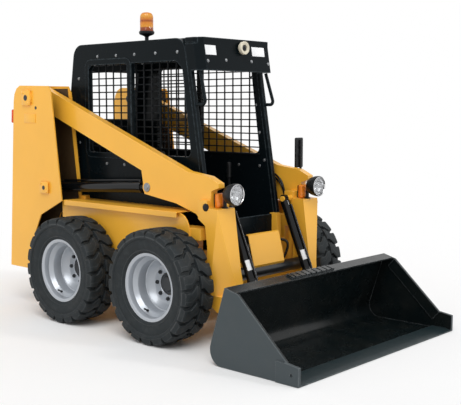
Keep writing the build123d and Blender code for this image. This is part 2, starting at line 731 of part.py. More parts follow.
def cab_side():
    """Left cab wall with its window cut and the post that divides it."""
    wall = slab(CAB_OUTLINE, CAB_HALF_WIDTH - CAB_WALL, CAB_HALF_WIDTH)
    wall = fillet(wall.edges().filter_by(Axis.Y).sort_by(Axis.Z)[-2:], CAB_CORNER)
    window = slab(WINDOW_OUTLINE, CAB_HALF_WIDTH - CAB_WALL * 2, CAB_HALF_WIDTH + CAB_WALL)
    wall -= fillet(window.edges().filter_by(Axis.Y), WINDOW_CORNER)
    low, high = WINDOW_OUTLINE[0][1], WINDOW_OUTLINE[2][1]
    post = block(
        WINDOW_POST_X - WINDOW_POST_WIDTH / 2, WINDOW_POST_X + WINDOW_POST_WIDTH / 2,
        CAB_HALF_WIDTH - CAB_WALL, CAB_HALF_WIDTH, low - PLATE, high + PLATE,
    )
    return wall + post


def window_front(z):
    """Front edge of the side window at a height, below its cut corner."""
    (x_high, z_high), (x_low, z_low) = WINDOW_OUTLINE[4], WINDOW_OUTLINE[5]
    share = (min(z, z_high) - z_low) / (z_high - z_low)
    return x_low + (x_high - x_low) * share


def side_mesh():
    """Welded wire mesh inside the left side window: upright wires, then level ones."""
    x_low = WINDOW_OUTLINE[0][0] - MESH_OVERLAP
    z_low = WINDOW_OUTLINE[0][1] - MESH_OVERLAP
    z_high = WINDOW_OUTLINE[2][1] + MESH_OVERLAP
    x_high = window_front(z_high)
    face = CAB_HALF_WIDTH - CAB_WALL - FIT_GAP
    wires = []
    for index in range(int((x_high - x_low) / MESH_PITCH_X) + 1):
        x = x_low + index * MESH_PITCH_X
        wires.append(block(x, x + MESH_WIRE, face - MESH_WIRE, face, z_low, z_high))
    back = face - MESH_WIRE - FIT_GAP
    for index in range(int((z_high - z_low) / MESH_PITCH_Z) + 1):
        z = z_low + index * MESH_PITCH_Z
        x_end = window_front(z) + MESH_OVERLAP
        wires.append(block(x_low, x_end, back - MESH_WIRE, back, z, z + MESH_WIRE))
    return wires


def flat_panel(plan, low, high):
    """Panel of an (x, y) outline between two heights."""
    face = Pos(0, 0, low) * make_face(Polyline(*plan, close=True))
    return extrude(face, high - low, dir=(0, 0, 1))


def corner_y(x):
    """Half width of the cab at the cut-off front corners of its roof."""
    share = (ROOF_FRONT - x) / CORNER_DEPTH
    return FRONT_HALF_WIDTH + (CAB_HALF_WIDTH - FRONT_HALF_WIDTH) * share


def rear_x(z):
    """Leaning rear edge of the cab at a height."""
    (x_low, z_low), (x_high, z_high) = CAB_OUTLINE[1], CAB_OUTLINE[2]
    return x_low + (x_high - x_low) * (z - z_low) / (z_high - z_low)


def cab_roof():
    """Roof sheet between the walls, rounded down to the rear wall, and its cap over the pillars."""
    front = ROOF_FRONT - HEADER_DEPTH
    bend = FilletPolyline(
        (rear_x(ROOF_BEND_LOW), ROOF_BEND_LOW), CAB_OUTLINE[2], (front, ROOF_TOP), radius=CAB_CORNER
    )
    sheet = make_face(offset(bend, ROOF_TOP - CAB_EAVES, side=Side.RIGHT))
    half = CAB_HALF_WIDTH - CAB_WALL - FIT_GAP
    panel = extrude(side_plane(half) * sheet, half * 2, dir=(0, -1, 0))
    corner = ROOF_FRONT - CORNER_DEPTH
    plan = [
        (CAB_FRONT_TOP + FIT_GAP, CAB_HALF_WIDTH), (corner, CAB_HALF_WIDTH), (front, corner_y(front)),
    ]
    plan += [(x, -y) for x, y in reversed(plan)]
    return panel + flat_panel(plan, CAB_EAVES, ROOF_TOP)


def cab_rear():
    """Rear cab wall with its window, bent along the rear edge of the sides."""
    outer = [CAB_OUTLINE[0], CAB_OUTLINE[1], (rear_x(REAR_WALL_TOP), REAR_WALL_TOP)]
    inner = [(x + CAB_WALL, z) for x, z in reversed(outer)]
    half = CAB_HALF_WIDTH - CAB_WALL
    wall = slab(outer + inner, -half, half)
    wall -= block(
        CAB_OUTLINE[0][0] - CAB_WALL, 0, -REAR_WINDOW_HALF_WIDTH, REAR_WINDOW_HALF_WIDTH,
        REAR_WINDOW_LOW, REAR_WINDOW_HIGH,
    )
    return wall


def front_x(z):
    """Front face of the cab at a height."""
    return ROOF_FRONT + (CAB_EAVES - z) * FRONT_SLOPE


def side_front(z):
    """Leaning front edge of the cab's side walls at a height."""
    return CAB_FRONT_TOP + (CAB_EAVES - z) * FRONT_SLOPE


def leaning_post(plan, z_low, z_high):
    """Post of one plan, (x, y) corners at its foot, that leans back as the cab's front does."""
    rise = z_high - z_low
    face = Pos(0, 0, z_low) * make_face(Polyline(*plan, close=True))
    return extrude(face, math.hypot(FRONT_SLOPE * rise, rise), dir=(-FRONT_SLOPE * rise, 0, rise))


def cab_front():
    """Front frame: two leaning pillars, a header set ahead of them and its two corner pieces."""
    inner = CAB_HALF_WIDTH - CAB_WALL
    back = side_front(PILLAR_BOTTOM) + FIT_GAP
    foot = [
        (back, CAB_HALF_WIDTH), (back, inner), (back + PILLAR_DEPTH, inner),
        (back + PILLAR_DEPTH, CAB_HALF_WIDTH),
    ]
    back = side_front(HEADER_BOTTOM) + FIT_GAP
    front = front_x(HEADER_BOTTOM)
    corner = [
        (back, CAB_HALF_WIDTH),
        (back, inner),
        (front - CORNER_DEPTH, FRONT_HALF_WIDTH - CORNER_POST),
        (front, FRONT_HALF_WIDTH - CORNER_POST),
        (front, FRONT_HALF_WIDTH),
        (front - CORNER_DEPTH, CAB_HALF_WIDTH),
    ]
    pillar = leaning_post(foot, PILLAR_BOTTOM, CAB_EAVES) + leaning_post(corner, HEADER_BOTTOM, CAB_EAVES)
    header = slab(
        [
            (front_x(CAB_EAVES) - HEADER_DEPTH, CAB_EAVES),
            (front_x(CAB_EAVES), CAB_EAVES),
            (front, HEADER_BOTTOM),
            (front - HEADER_DEPTH, HEADER_BOTTOM),
        ],
        -FRONT_HALF_WIDTH, FRONT_HALF_WIDTH,
    )
    back = ROOF_FRONT - HEADER_DEPTH
    brow = [(back, corner_y(back)), (ROOF_FRONT, FRONT_HALF_WIDTH)]
    brow += [(x, -y) for x, y in reversed(brow)]
    return header + pillar + to_right(pillar) + flat_panel(brow, CAB_EAVES, ROOF_TOP)


def grab_handles():
    """Two bent tubes to hold on to, from the header's corners down and back to the pillars."""
    reach = distance(HANDLE_TOP, HANDLE_FRONT)
    slant = math.atan2(reach, HEADER_BOTTOM - HANDLE_LOW)
    top = HEADER_BOTTOM - HANDLE_RADIUS * math.sin(slant) - FIT_GAP
    foot = side_front(HANDLE_LOW - HANDLE_RADIUS) + PILLAR_DEPTH + FIT_GAP * 2
    route = FilletPolyline(
        (*HANDLE_TOP, top), (*HANDLE_FRONT, HANDLE_LOW), (foot, HANDLE_FRONT[1], HANDLE_LOW),
        radius=HANDLE_BEND,
    )
    left = sweep(Plane(route @ 0, z_dir=route % 0) * Circle(HANDLE_RADIUS), route)
    return [left, to_right(left)]


def seat_base():
    """Seat box on the cab's shelf."""
    top = CHAIN_CASE_TOP + SEAT_BASE_HEIGHT
    front = SEAT_BACK_X + SEAT_LENGTH - PLATE * 4
    return block(SEAT_BACK_X, front, -SEAT_HALF_WIDTH, SEAT_HALF_WIDTH, CHAIN_CASE_TOP, top)


def seat_cushion():
    """Seat cushion, a rounded block."""
    low = CHAIN_CASE_TOP + SEAT_BASE_HEIGHT + FIT_GAP
    pad = block(
        SEAT_BACK_X, SEAT_BACK_X + SEAT_LENGTH, -SEAT_HALF_WIDTH, SEAT_HALF_WIDTH,
        low, low + CUSHION_THICKNESS,
    )
    return fillet(pad.edges().filter_by(Axis.Z), CUSHION_THICKNESS / 3)


def seat_back():
    """Backrest, a rounded block behind the cushion."""
    low = CHAIN_CASE_TOP + SEAT_BASE_HEIGHT + FIT_GAP
    pad = block(
        SEAT_BACK_X - BACKREST_THICKNESS - FIT_GAP, SEAT_BACK_X - FIT_GAP,
        -SEAT_HALF_WIDTH, SEAT_HALF_WIDTH, low, low + BACKREST_HEIGHT,
    )
    return fillet(pad.edges().filter_by(Axis.X), BACKREST_THICKNESS / 3)


def control_levers():
    """Two drive levers on boxes beside the seat."""
    base = FLOOR_HEIGHT + PLATE
    levers = []
    box = block(
        LEVER_X - LEVER_BOX, LEVER_X + LEVER_BOX, LEVER_Y - LEVER_BOX / 2, LEVER_Y + LEVER_BOX / 2, base,
        base + LEVER_BOX * 2,
    )
    rod_top = base + LEVER_BOX * 2 + LEVER_HEIGHT
    rod = Pos(LEVER_X, LEVER_Y, (base + rod_top) / 2) * Cylinder(LEVER_RADIUS, rod_top - base)
    grip = Pos(LEVER_X, LEVER_Y, rod_top) * Cylinder(GRIP_RADIUS, GRIP_LENGTH)
    levers += both_sides(box + rod + grip)
    return levers


def leg_fold():
    """Space outside the left leg's front corner, which is folded inward towards the foot."""
    top = Vector(FOLD_TOP[0], LEG_OUTER, FOLD_TOP[1])
    front = Vector(FOLD_FRONT[0], LEG_OUTER - FOLD_INSET, FOLD_FRONT[1])
    back = Vector(FOLD_BACK[0], LEG_OUTER, FOLD_BACK[1])
    span = distance(FOLD_TOP, FOLD_BACK) * 2
    outward = Plane(top, z_dir=(front - top).cross(back - top))
    outside = outward * Box(span, span, span, align=(Align.CENTER, Align.CENTER, Align.MIN))
    reach = block(
        FOLD_BACK[0], LEG_OUTLINE[6][0], LEG_INNER, LEG_OUTER + PLATE, LEG_FOOT_TOP, FOLD_TOP[1]
    )
    return outside & reach


def boom_arm():
    """Left boom arm: hollow beam, lift bracket with two cheeks, knee and box leg."""
    inner, outer = ARM_Y - ARM_WIDTH / 2, ARM_Y + ARM_WIDTH / 2
    beam = slab(ARM_OUTLINE, inner, outer) + bar_y(BOOM_PIVOT, ARM_END_RADIUS, inner, outer)
    beam += bar_y(LIFT_EYE, BRACKET_RADIUS, inner, outer)
    beam -= slab(BRACKET_SLOT, inner + ARM_WALL, outer - ARM_WALL)
    leg = slab(LEG_OUTLINE, LEG_INNER, LEG_OUTER) - leg_fold()
    foot_back, foot_front = LEG_OUTLINE[8][0], LEG_OUTLINE[6][0]
    foot_cut = [(foot_back, 0), (foot_back, LEG_FOOT_TOP), (foot_front, LEG_FOOT_TOP), (foot_front, 0)]
    leg -= slab(foot_cut, LEG_INNER - PLATE, FOOT_INNER)
    leg -= slab(foot_cut, FOOT_OUTER, LEG_OUTER + PLATE)
    leg += bar_y(BUCKET_HINGE, HINGE_BOSS_RADIUS, FOOT_INNER, FOOT_OUTER)
    gusset = bar_y(CROSS_TUBE, GUSSET_RADIUS, LEG_INNER, LEG_INNER + PLATE * 2)
    arm = beam + leg + gusset
    arm -= bar_y(BOOM_PIVOT, PIVOT_PIN_RADIUS + FIT_GAP, inner - PLATE, outer + PLATE)
    arm -= bar_y(BUCKET_HINGE, HINGE_PIN_RADIUS + FIT_GAP, FOOT_INNER - PLATE, FOOT_OUTER + PLATE)
    pin_inner = TILT_Y - TILT_EYE_WIDTH / 2 - PLATE
    arm += bar_y(TILT_BASE, TILT_PIN_RADIUS, pin_inner, outer)
    return arm


def boom_cross():
    """Cross tube between the legs with the bent apron plate on two ribs."""
    tube = bar_y(CROSS_TUBE, CROSS_TUBE_RADIUS, -LEG_INNER, LEG_INNER)
    tube -= bar_y(CROSS_TUBE, CROSS_TUBE_RADIUS - CROSS_TUBE_WALL, -LEG_INNER, LEG_INNER)
    apron_line = Polyline(*APRON_OUTLINE)
    strip = make_face(offset(apron_line, APRON_PLATE, side=Side.RIGHT))
    apron = extrude(side_plane(APRON_HALF_WIDTH) * strip, APRON_HALF_WIDTH * 2, dir=(0, -1, 0))
    rib_outline = [
        (CROSS_TUBE[0] - APRON_PLATE, CROSS_TUBE[1] + CROSS_TUBE_RADIUS - APRON_PLATE),
        APRON_OUTLINE[1], APRON_OUTLINE[2], (CROSS_TUBE[0] + APRON_PLATE, CROSS_TUBE[1]),
    ]
    ribs = []
    for side in (1, -1):
        ribs.append(slab(rib_outline, side * APRON_RIB_Y - APRON_PLATE, side * APRON_RIB_Y + APRON_PLATE))
    return tube + apron + ribs


def barrel(base, eye, y, outer, bore, end, eye_radius, eye_width, pin):
    """Cylinder barrel with its base eye, end cap, gland and a pipe along its side."""
    start = eye_radius - CAP_LENGTH / 2
    shape = bar_along(base, eye, y, outer, start, end)
    shape += bar_along(base, eye, y, outer + GLAND_STEP, end - GLAND_LENGTH, end)
    shape += bar_y(base, eye_radius, y - eye_width / 2, y + eye_width / 2)
    shape -= bar_along(base, eye, y, bore, start + CAP_LENGTH, end - GLAND_LENGTH)
    shape -= bar_y(base, pin + FIT_GAP, y - eye_width, y + eye_width)
    pipe_side = outer + PIPE_OFFSET
    shape += bar_along(base, eye, y, PIPE_RADIUS, start + CAP_LENGTH * 2, end - CAP_LENGTH, pipe_side)
    for foot in (start + CAP_LENGTH * 2, end - CAP_LENGTH * 2):
        shape += bar_along(base, eye, y, PIPE_RADIUS, foot, foot + CAP_LENGTH, outer)
    return shape


def rod(base, eye, y, radius, bore, length, eye_radius, eye_width):
    """Piston rod with its piston inside the barrel and its eye at the outer end."""
    reach = distance(base, eye)
    shape = bar_along(base, eye, y, radius, reach - length, reach)
    shape += bar_along(base, eye, y, bore - FIT_GAP, reach - length, reach - length + PISTON_LENGTH)
    shape += bar_y(eye, eye_radius, y - eye_width / 2, y + eye_width / 2)
    return shape


def lift_barrel():
    """Left lift cylinder barrel."""
    shape = barrel(
        LIFT_BASE, LIFT_EYE, ARM_Y, LIFT_BARREL_RADIUS, LIFT_BORE_RADIUS, LIFT_BARREL_END, LIFT_EYE_RADIUS,
        LIFT_EYE_WIDTH, LIFT_PIN_RADIUS,
    )
    gland = LIFT_BARREL_END - GLAND_LENGTH * 2
    return shape - bar_along(
        LIFT_BASE, LIFT_EYE, ARM_Y, LIFT_ROD_RADIUS + FIT_GAP, gland, LIFT_BARREL_END
    )


def lift_rod():
    """Left lift cylinder rod."""
    return rod(
        LIFT_BASE, LIFT_EYE, ARM_Y, LIFT_ROD_RADIUS, LIFT_BORE_RADIUS, LIFT_ROD_LENGTH, LIFT_EYE_RADIUS,
        LIFT_EYE_WIDTH,
    )


def tilt_barrel():
    """Left tilt cylinder barrel."""
    shape = barrel(
        TILT_BASE, TILT_EYE, TILT_Y, TILT_BARREL_RADIUS, TILT_BORE_RADIUS, TILT_BARREL_END, TILT_EYE_RADIUS,
        TILT_EYE_WIDTH, TILT_PIN_RADIUS,
    )
    gland = TILT_BARREL_END - GLAND_LENGTH * 2
    return shape - bar_along(
        TILT_BASE, TILT_EYE, TILT_Y, TILT_ROD_RADIUS + FIT_GAP, gland, TILT_BARREL_END
    )


def tilt_rod():
    """Left tilt cylinder rod."""
    return rod(
        TILT_BASE, TILT_EYE, TILT_Y, TILT_ROD_RADIUS, TILT_BORE_RADIUS, TILT_ROD_LENGTH, TILT_EYE_RADIUS,
        TILT_EYE_WIDTH,
    )


def back_point(out, up):
    """The (x, z) place of a point given by its distance out of the bucket's back and up along it."""
    spot = BACK_PLANE.from_local_coords((out, 0, up))
    return (spot.X, spot.Z)


def ear(point, root_low, root_high, radius, y_low, y_high):
    """Plate from the coupler's face to a round end at a pin."""
    root = ATTACH_PLATE + COUPLER_PLATE / 2
    local = BACK_PLANE.to_local_coords(Vector(point[0], 0, point[1]))
    outline = [
        back_point(root, root_low),
        back_point(root, root_high),
        back_point(local.X, local.Z + radius),
        back_point(local.X, local.Z - radius),
    ]
    return slab(outline, y_low, y_high) + bar_y(point, radius, y_low, y_high)


def quick_coupler():
    """Coupler plate with the hinge ears, their pins and the tilt cylinder ears."""
    mid = ATTACH_PLATE + COUPLER_PLATE / 2
    height = ATTACH_HIGH - ATTACH_LOW
    plate = BACK_PLANE * (
        Pos(mid, 0, ATTACH_LOW + height / 2) * Box(COUPLER_PLATE, ATTACH_HALF_WIDTH * 2, height)
    )
    left = []
    for y_low in (FOOT_INNER - EAR_GAP - EAR_PLATE, FOOT_OUTER + EAR_GAP):
        left.append(ear(BUCKET_HINGE, ATTACH_LOW, EAR_ROOT_HIGH, EAR_RADIUS, y_low, y_low + EAR_PLATE))
    pin_reach = EAR_GAP + EAR_PLATE
    left.append(bar_y(BUCKET_HINGE, HINGE_PIN_RADIUS, FOOT_INNER - pin_reach, FOOT_OUTER + pin_reach))
    half_gap = TILT_EYE_WIDTH / 2 + TILT_EAR_GAP
    for y_low in (TILT_Y - half_gap - TILT_EAR_PLATE, TILT_Y + half_gap):
        left.append(
            ear(TILT_EYE, TILT_ROOT_LOW, TILT_ROOT_HIGH, TILT_EYE_RADIUS, y_low, y_low + TILT_EAR_PLATE)
        )
    shape = plate
    for piece in left:
        shape += piece
        shape += to_right(piece)
    return shape


def along_edge(start, end, length, depth):
    """Point a length from start towards end, and a depth to the right of that line."""
    run = distance(start, end)
    step_x, step_z = (end[0] - start[0]) / run, (end[1] - start[1]) / run
    return (start[0] + step_x * length + step_z * depth, start[1] + step_z * length - step_x * depth)


def bucket_lip():
    """Folded lip along the top of the bucket's back, with a slotted step tread on it."""
    inside = BUCKET_HALF_WIDTH - BUCKET_SIDE
    lip = [
        along_edge(BUCKET_BACK_TOP, SIDE_TOP, length, depth)
        for length, depth in ((0, 0), (LIP_WIDTH, 0), (LIP_WIDTH, BUCKET_SHEET), (0, BUCKET_SHEET))
    ]
    margin = (LIP_WIDTH - TREAD_WIDTH) / 2
    far = LIP_WIDTH - margin
    top, root = -TREAD_HEIGHT, BUCKET_SHEET / 2
    tread = [
        along_edge(BUCKET_BACK_TOP, SIDE_TOP, length, depth)
        for length, depth in ((margin, root), (margin, top), (far, top), (far, root))
    ]
    step = slab(tread, TREAD_RIGHT, TREAD_LEFT)
    slot_outline = [
        along_edge(BUCKET_BACK_TOP, SIDE_TOP, length, depth)
        for length, depth in ((0, 0), (0, top * 2), (LIP_WIDTH, top * 2), (LIP_WIDTH, 0))
    ]
    pitch = (TREAD_LEFT - TREAD_RIGHT) / TREAD_SLOTS
    for index in range(TREAD_SLOTS):
        middle = TREAD_RIGHT + pitch * (index + 1 / 2)
        step -= slab(slot_outline, middle - TREAD_SLOT / 2, middle + TREAD_SLOT / 2)
    return slab(lip, -inside, inside) + step


def side_trim():
    """Left side's doubler strip inside its sloping edge and cutter plate at its front corner."""
    inside = BUCKET_HALF_WIDTH - BUCKET_SIDE
    edge = distance(SIDE_TOP, SIDE_CHEEK)
    strip = [
        along_edge(SIDE_TOP, SIDE_CHEEK, length, depth)
        for length, depth in ((0, 0), (edge, 0), (edge, DOUBLER_WIDTH), (0, DOUBLER_WIDTH))
    ]
    doubler = slab(strip, inside - DOUBLER_PLATE, inside + BUCKET_SIDE / 2)
    back = BUCKET_REACH - CUTTER_LENGTH
    plate = [
        (back, BUCKET_GROUND_GAP), (BUCKET_REACH, BUCKET_GROUND_GAP), (BUCKET_REACH, TIP_HEIGHT),
        SIDE_CHEEK, (back, SIDE_CHEEK[1]),
    ]
    outer = BUCKET_HALF_WIDTH + CUTTER_PLATE
    cutter = slab(plate, BUCKET_HALF_WIDTH - BUCKET_SIDE / 2, outer)
    return doubler, cutter - bar_y(CUTTER_HOLE, CUTTER_HOLE_RADIUS, BUCKET_HALF_WIDTH, outer)


def bucket():
    """Bucket: bent back and floor sheet, lip, two trimmed side plates and the attachment plate."""
    corner = (BUCKET_CORNER_X, BUCKET_GROUND_GAP)
    floor_end = (BUCKET_REACH - EDGE_LENGTH, BUCKET_GROUND_GAP)
    bend = FilletPolyline(BUCKET_BACK_TOP, corner, floor_end, radius=HEEL_RADIUS)
    sheet = make_face(offset(bend, BUCKET_SHEET, side=Side.LEFT))
    inside = BUCKET_HALF_WIDTH - BUCKET_SIDE
    shell = extrude(side_plane(inside) * sheet, inside * 2, dir=(0, -1, 0))
    side_line = FilletPolyline(
        BUCKET_BACK_TOP, corner, (BUCKET_REACH, BUCKET_GROUND_GAP), radius=HEEL_RADIUS
    )
    rim_line = Polyline(
        (BUCKET_REACH, BUCKET_GROUND_GAP), (BUCKET_REACH, TIP_HEIGHT), SIDE_CHEEK, SIDE_TOP, BUCKET_BACK_TOP
    )
    face = make_face(side_line.edges() + rim_line.edges())
    side = extrude(side_plane(BUCKET_HALF_WIDTH) * face, BUCKET_SIDE, dir=(0, -1, 0))
    height = ATTACH_HIGH - ATTACH_LOW
    attach = BACK_PLANE * (
        Pos(ATTACH_PLATE / 2, 0, ATTACH_LOW + height / 2) * Box(ATTACH_PLATE, ATTACH_HALF_WIDTH * 2, height)
    )
    for trim in side_trim():
        side += trim
    return shell + bucket_lip() + side + to_right(side) + attach


def cutting_edge():
    """Thick bevelled blade in front of the bucket's floor, between its side plates."""
    back = BUCKET_REACH - EDGE_LENGTH
    low = BUCKET_GROUND_GAP
    outline = [
        (back, low), (BUCKET_REACH, low), (BUCKET_REACH, low + EDGE_THICKNESS / 3),
        (BUCKET_REACH - EDGE_BEVEL, low + EDGE_THICKNESS), (back, low + EDGE_THICKNESS),
    ]
    inside = BUCKET_HALF_WIDTH - BUCKET_SIDE
    return slab(outline, -inside, inside)


def leg_top(x):
    """Height of the leg's sloping top at one x."""
    (x_back, z_back), (x_front, z_front) = LEG_OUTLINE[3], LEG_OUTLINE[4]
    return z_back + (z_front - z_back) * (x - x_back) / (x_front - x_back)


def head_lamp():
    """Left round head lamp on its foot on the leg's top."""
    lens = Plane((LAMP_LENS[0], LAMP_Y, LAMP_LENS[1]), z_dir=(1, 0, 0))
    bowl = Cone(LAMP_BACK_RADIUS, LAMP_RADIUS, LAMP_DEPTH, align=(Align.CENTER, Align.CENTER, Align.MAX))
    ring_part = Cylinder(LAMP_RADIUS, LAMP_RING, align=(Align.CENTER, Align.CENTER, Align.MAX))
    foot_low = leg_top(LAMP_FOOT_X - LAMP_FOOT_RADIUS) + FIT_GAP
    foot_height = LAMP_LENS[1] - foot_low - LAMP_FOOT_RADIUS
    foot = Pos(LAMP_FOOT_X, LAMP_Y, foot_low) * Cylinder(
        LAMP_FOOT_RADIUS, foot_height, align=(Align.CENTER, Align.CENTER, Align.MIN)
    )
    return lens * bowl + lens * ring_part + foot


def blinker():
    """Left turn signal on the leg's top, behind the lamp."""
    top = leg_top(BLINKER_BACK) + FIT_GAP
    lens = block(
        BLINKER_BACK, BLINKER_BACK + BLINKER_DEPTH, LAMP_Y - BLINKER_WIDTH / 2,
        LAMP_Y + BLINKER_WIDTH / 2, top, top + BLINKER_HEIGHT,
    )
    return lens


def mirror_head():
    """Rear-view mirror on a post at the left arm's knee."""
    arm_outer = ARM_Y + ARM_WIDTH / 2
    front = MIRROR_X + MIRROR_THICKNESS / 2
    plate = block(
        MIRROR_X - MIRROR_THICKNESS / 2, front, MIRROR_Y - MIRROR_WIDTH / 2, MIRROR_Y + MIRROR_WIDTH / 2,
        MIRROR_LOW, MIRROR_HIGH,
    )
    post_x = front + MIRROR_POST_GAP + MIRROR_POST_RADIUS
    low = KNEE_TOP[1] - ARM_DEPTH / 2
    post_height = MIRROR_HIGH - MIRROR_POST_RADIUS - low
    post = Pos(post_x, MIRROR_Y, low) * Cylinder(
        MIRROR_POST_RADIUS, post_height, align=(Align.CENTER, Align.CENTER, Align.MIN)
    )
    stub = bar_y((post_x, low + MIRROR_POST_RADIUS * 2), MIRROR_STUB_RADIUS, arm_outer + FIT_GAP, MIRROR_Y)
    clamp_z = MIRROR_HIGH - MIRROR_CLAMP_DROP
    clamp = block(
        front - MIRROR_THICKNESS / 2, post_x, MIRROR_Y - MIRROR_STUB_RADIUS, MIRROR_Y + MIRROR_STUB_RADIUS,
        clamp_z - MIRROR_POST_RADIUS, clamp_z + MIRROR_POST_RADIUS,
    )
    return post + stub + clamp + plate


def work_lamp():
    """Round work lamp on the header."""
    face = front_x(WORK_LAMP_Z - WORK_LAMP_RADIUS) + FIT_GAP
    lamp = Plane((face, WORK_LAMP_Y, WORK_LAMP_Z), z_dir=(1, 0, 0))
    return lamp * Cylinder(WORK_LAMP_RADIUS, WORK_LAMP_DEPTH, align=(Align.CENTER, Align.CENTER, Align.MIN))


def beacon_base():
    """Beacon stem and base on the roof."""
    up = (Align.CENTER, Align.CENTER, Align.MIN)
    stem = Pos(BEACON_X, 0, ROOF_TOP) * Cylinder(BEACON_STEM_RADIUS, BEACON_STEM_HEIGHT, align=up)
    base = Pos(BEACON_X, 0, ROOF_TOP + BEACON_STEM_HEIGHT)
    base *= Cylinder(BEACON_BASE_RADIUS, BEACON_BASE_HEIGHT, align=up)
    return stem + base


def beacon_lens():
    """Beacon lens with a drawn-in top."""
    low = ROOF_TOP + BEACON_STEM_HEIGHT + BEACON_BASE_HEIGHT
    lens = Pos(BEACON_X, 0, low) * Cylinder(
        BEACON_LENS_RADIUS, BEACON_LENS_HEIGHT, align=(Align.CENTER, Align.CENTER, Align.MIN)
    )
    return chamfer(lens.edges().sort_by(Axis.Z)[-1], BEACON_DOME)


def tail_lamp():
    """Left tail lamp on the tower's rear wall."""
    height = (TAIL_LAMP_Z - TOWER_OUTLINE[0][1]) / math.cos(TOWER_SLOPE)
    lamp = Pos(-TAIL_LAMP_DEPTH / 2, TAIL_LAMP_Y, height)
    return REAR_PLANE * (lamp * Box(TAIL_LAMP_DEPTH, TAIL_LAMP_WIDTH, TAIL_LAMP_HEIGHT))


def nodes():
    """Every piece by name."""
    tower_left = tower()
    left_with_hinge = tower_left + door_bracket()
    made = {
        "main_frame": main_frame(),
        "cab_floor": cab_floor(),
        "tower_left": left_with_hinge,
        "tower_right": to_right(tower_left),
        "chassis_pins": chassis_pins(),
        "fenders": both_sides(fender()),
        "rear_bumper": rear_bumper(),
        "engine_block": engine_block(),
        "engine_hood": engine_hood(),
        "rear_door": rear_door(),
        "cab_side_left": cab_side(),
        "cab_side_right": to_right(cab_side()),
        "side_mesh_left": side_mesh(),
        "side_mesh_right": [to_right(wire) for wire in side_mesh()],
        "cab_roof": cab_roof(),
        "cab_rear": cab_rear(),
        "cab_front": cab_front(),
        "grab_handles": grab_handles(),
        "seat_base": seat_base(),
        "seat_cushion": seat_cushion(),
        "seat_back": seat_back(),
        "control_levers": control_levers(),
        "work_lamp": work_lamp(),
        "beacon_base": beacon_base(),
        "beacon_lens": beacon_lens(),
        "tail_lamps": both_sides(tail_lamp()),
        "boom_arm_left": boom_arm(),
        "boom_arm_right": to_right(boom_arm()),
        "boom_cross": boom_cross(),
        "head_lamps": both_sides(head_lamp()),
        "blinkers": both_sides(blinker()),
        "mirror": mirror_head(),
        "quick_coupler": quick_coupler(),
        "bucket": bucket(),
        "cutting_edge": cutting_edge(),
    }
    for name, piece in (
        ("lift_barrel", lift_barrel()),
        ("lift_rod", lift_rod()),
        ("tilt_barrel", tilt_barrel()),
        ("tilt_rod", tilt_rod()),
    ):
        made[name + "_left"] = piece
        made[name + "_right"] = to_right(piece)
    tyre_shape, rim_shape = tyre(), rim()
    for place, (x, side) in WHEELS.items():
        made["tyre_" + place] = placed_wheel(tyre_shape, x, side)
        made["rim_" + place] = placed_wheel(rim_shape, x, side)
    return made


os.makedirs("parts", exist_ok=True)
CENTRE = Pos((REAR_OVERHANG - BUCKET_REACH) / 2, 0, 0)
for node, shape in nodes().items():
    pieces = shape if isinstance(shape, list) else [shape]
    solids = [CENTRE * solid for piece in pieces for solid in piece.solids()]
    export_step(solids[0] if len(solids) == 1 else Compound(children=solids), "parts/" + node + ".step")
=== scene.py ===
import json
import random
from math import atan, atan2, cos, exp, pi, radians, sin, sqrt

import bmesh
import bpy
from mathutils import Matrix, Vector
from mathutils.bvhtree import BVHTree


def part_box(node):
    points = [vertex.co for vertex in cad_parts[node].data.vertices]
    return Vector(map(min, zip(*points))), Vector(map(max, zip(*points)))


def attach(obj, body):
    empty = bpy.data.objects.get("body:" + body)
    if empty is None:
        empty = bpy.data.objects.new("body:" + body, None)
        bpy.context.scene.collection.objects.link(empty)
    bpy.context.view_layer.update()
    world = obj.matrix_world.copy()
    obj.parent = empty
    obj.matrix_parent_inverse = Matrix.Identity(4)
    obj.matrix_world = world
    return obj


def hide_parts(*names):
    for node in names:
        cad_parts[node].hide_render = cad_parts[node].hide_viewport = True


# Looks of a compact skid-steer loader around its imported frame. Metres; X forward, Y left, Z up.
# Places along X are given from the rear axle, as in the part's source.
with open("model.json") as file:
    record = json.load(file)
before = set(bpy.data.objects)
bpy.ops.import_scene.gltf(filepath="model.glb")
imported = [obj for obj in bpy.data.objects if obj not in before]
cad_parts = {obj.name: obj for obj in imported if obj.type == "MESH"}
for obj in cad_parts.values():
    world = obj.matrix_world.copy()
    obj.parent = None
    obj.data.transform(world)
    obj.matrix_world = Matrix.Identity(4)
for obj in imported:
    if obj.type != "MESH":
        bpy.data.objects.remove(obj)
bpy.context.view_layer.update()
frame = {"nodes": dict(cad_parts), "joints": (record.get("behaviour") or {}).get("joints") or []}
NODES = frame["nodes"]
JOINTS = {joint["name"]: joint for joint in frame["joints"]}
REAR_AXLE = JOINTS["wheel_rear_left_spin"]["pos_m"][0]
SIDES = ((1, "left"), (-1, "right"))
SEED = 7
random.seed(SEED)

# Directions for turned pieces, whose own axis is local Z
TO_Y = Matrix.Rotation(radians(-90), 4, "X")
TO_X = Matrix.Rotation(radians(90), 4, "Y")
UPRIGHT = Matrix.Identity(4)
move = Matrix.Translation
TURN = 2 * pi

# Camera, as the photograph was taken
CAMERA_PLACE = (5.2412, -4.7638, 1.5598)
CAMERA_FORWARD = (-0.6673, 0.7375, -0.10395)
CAMERA_LENS = 70.0
CAMERA_SENSOR = 36.0

# Walls that trim sits on, as distances from the middle plane
CAB_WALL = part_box("cab_side_left")[1].y
CAB_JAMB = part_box("cab_side_left")[0].y
TOWER_WALL = 0.62
TOWER_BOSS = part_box("tower_left")[1].y
ARM_WALL = 0.51
LEG_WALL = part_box("boom_arm_left")[1].y

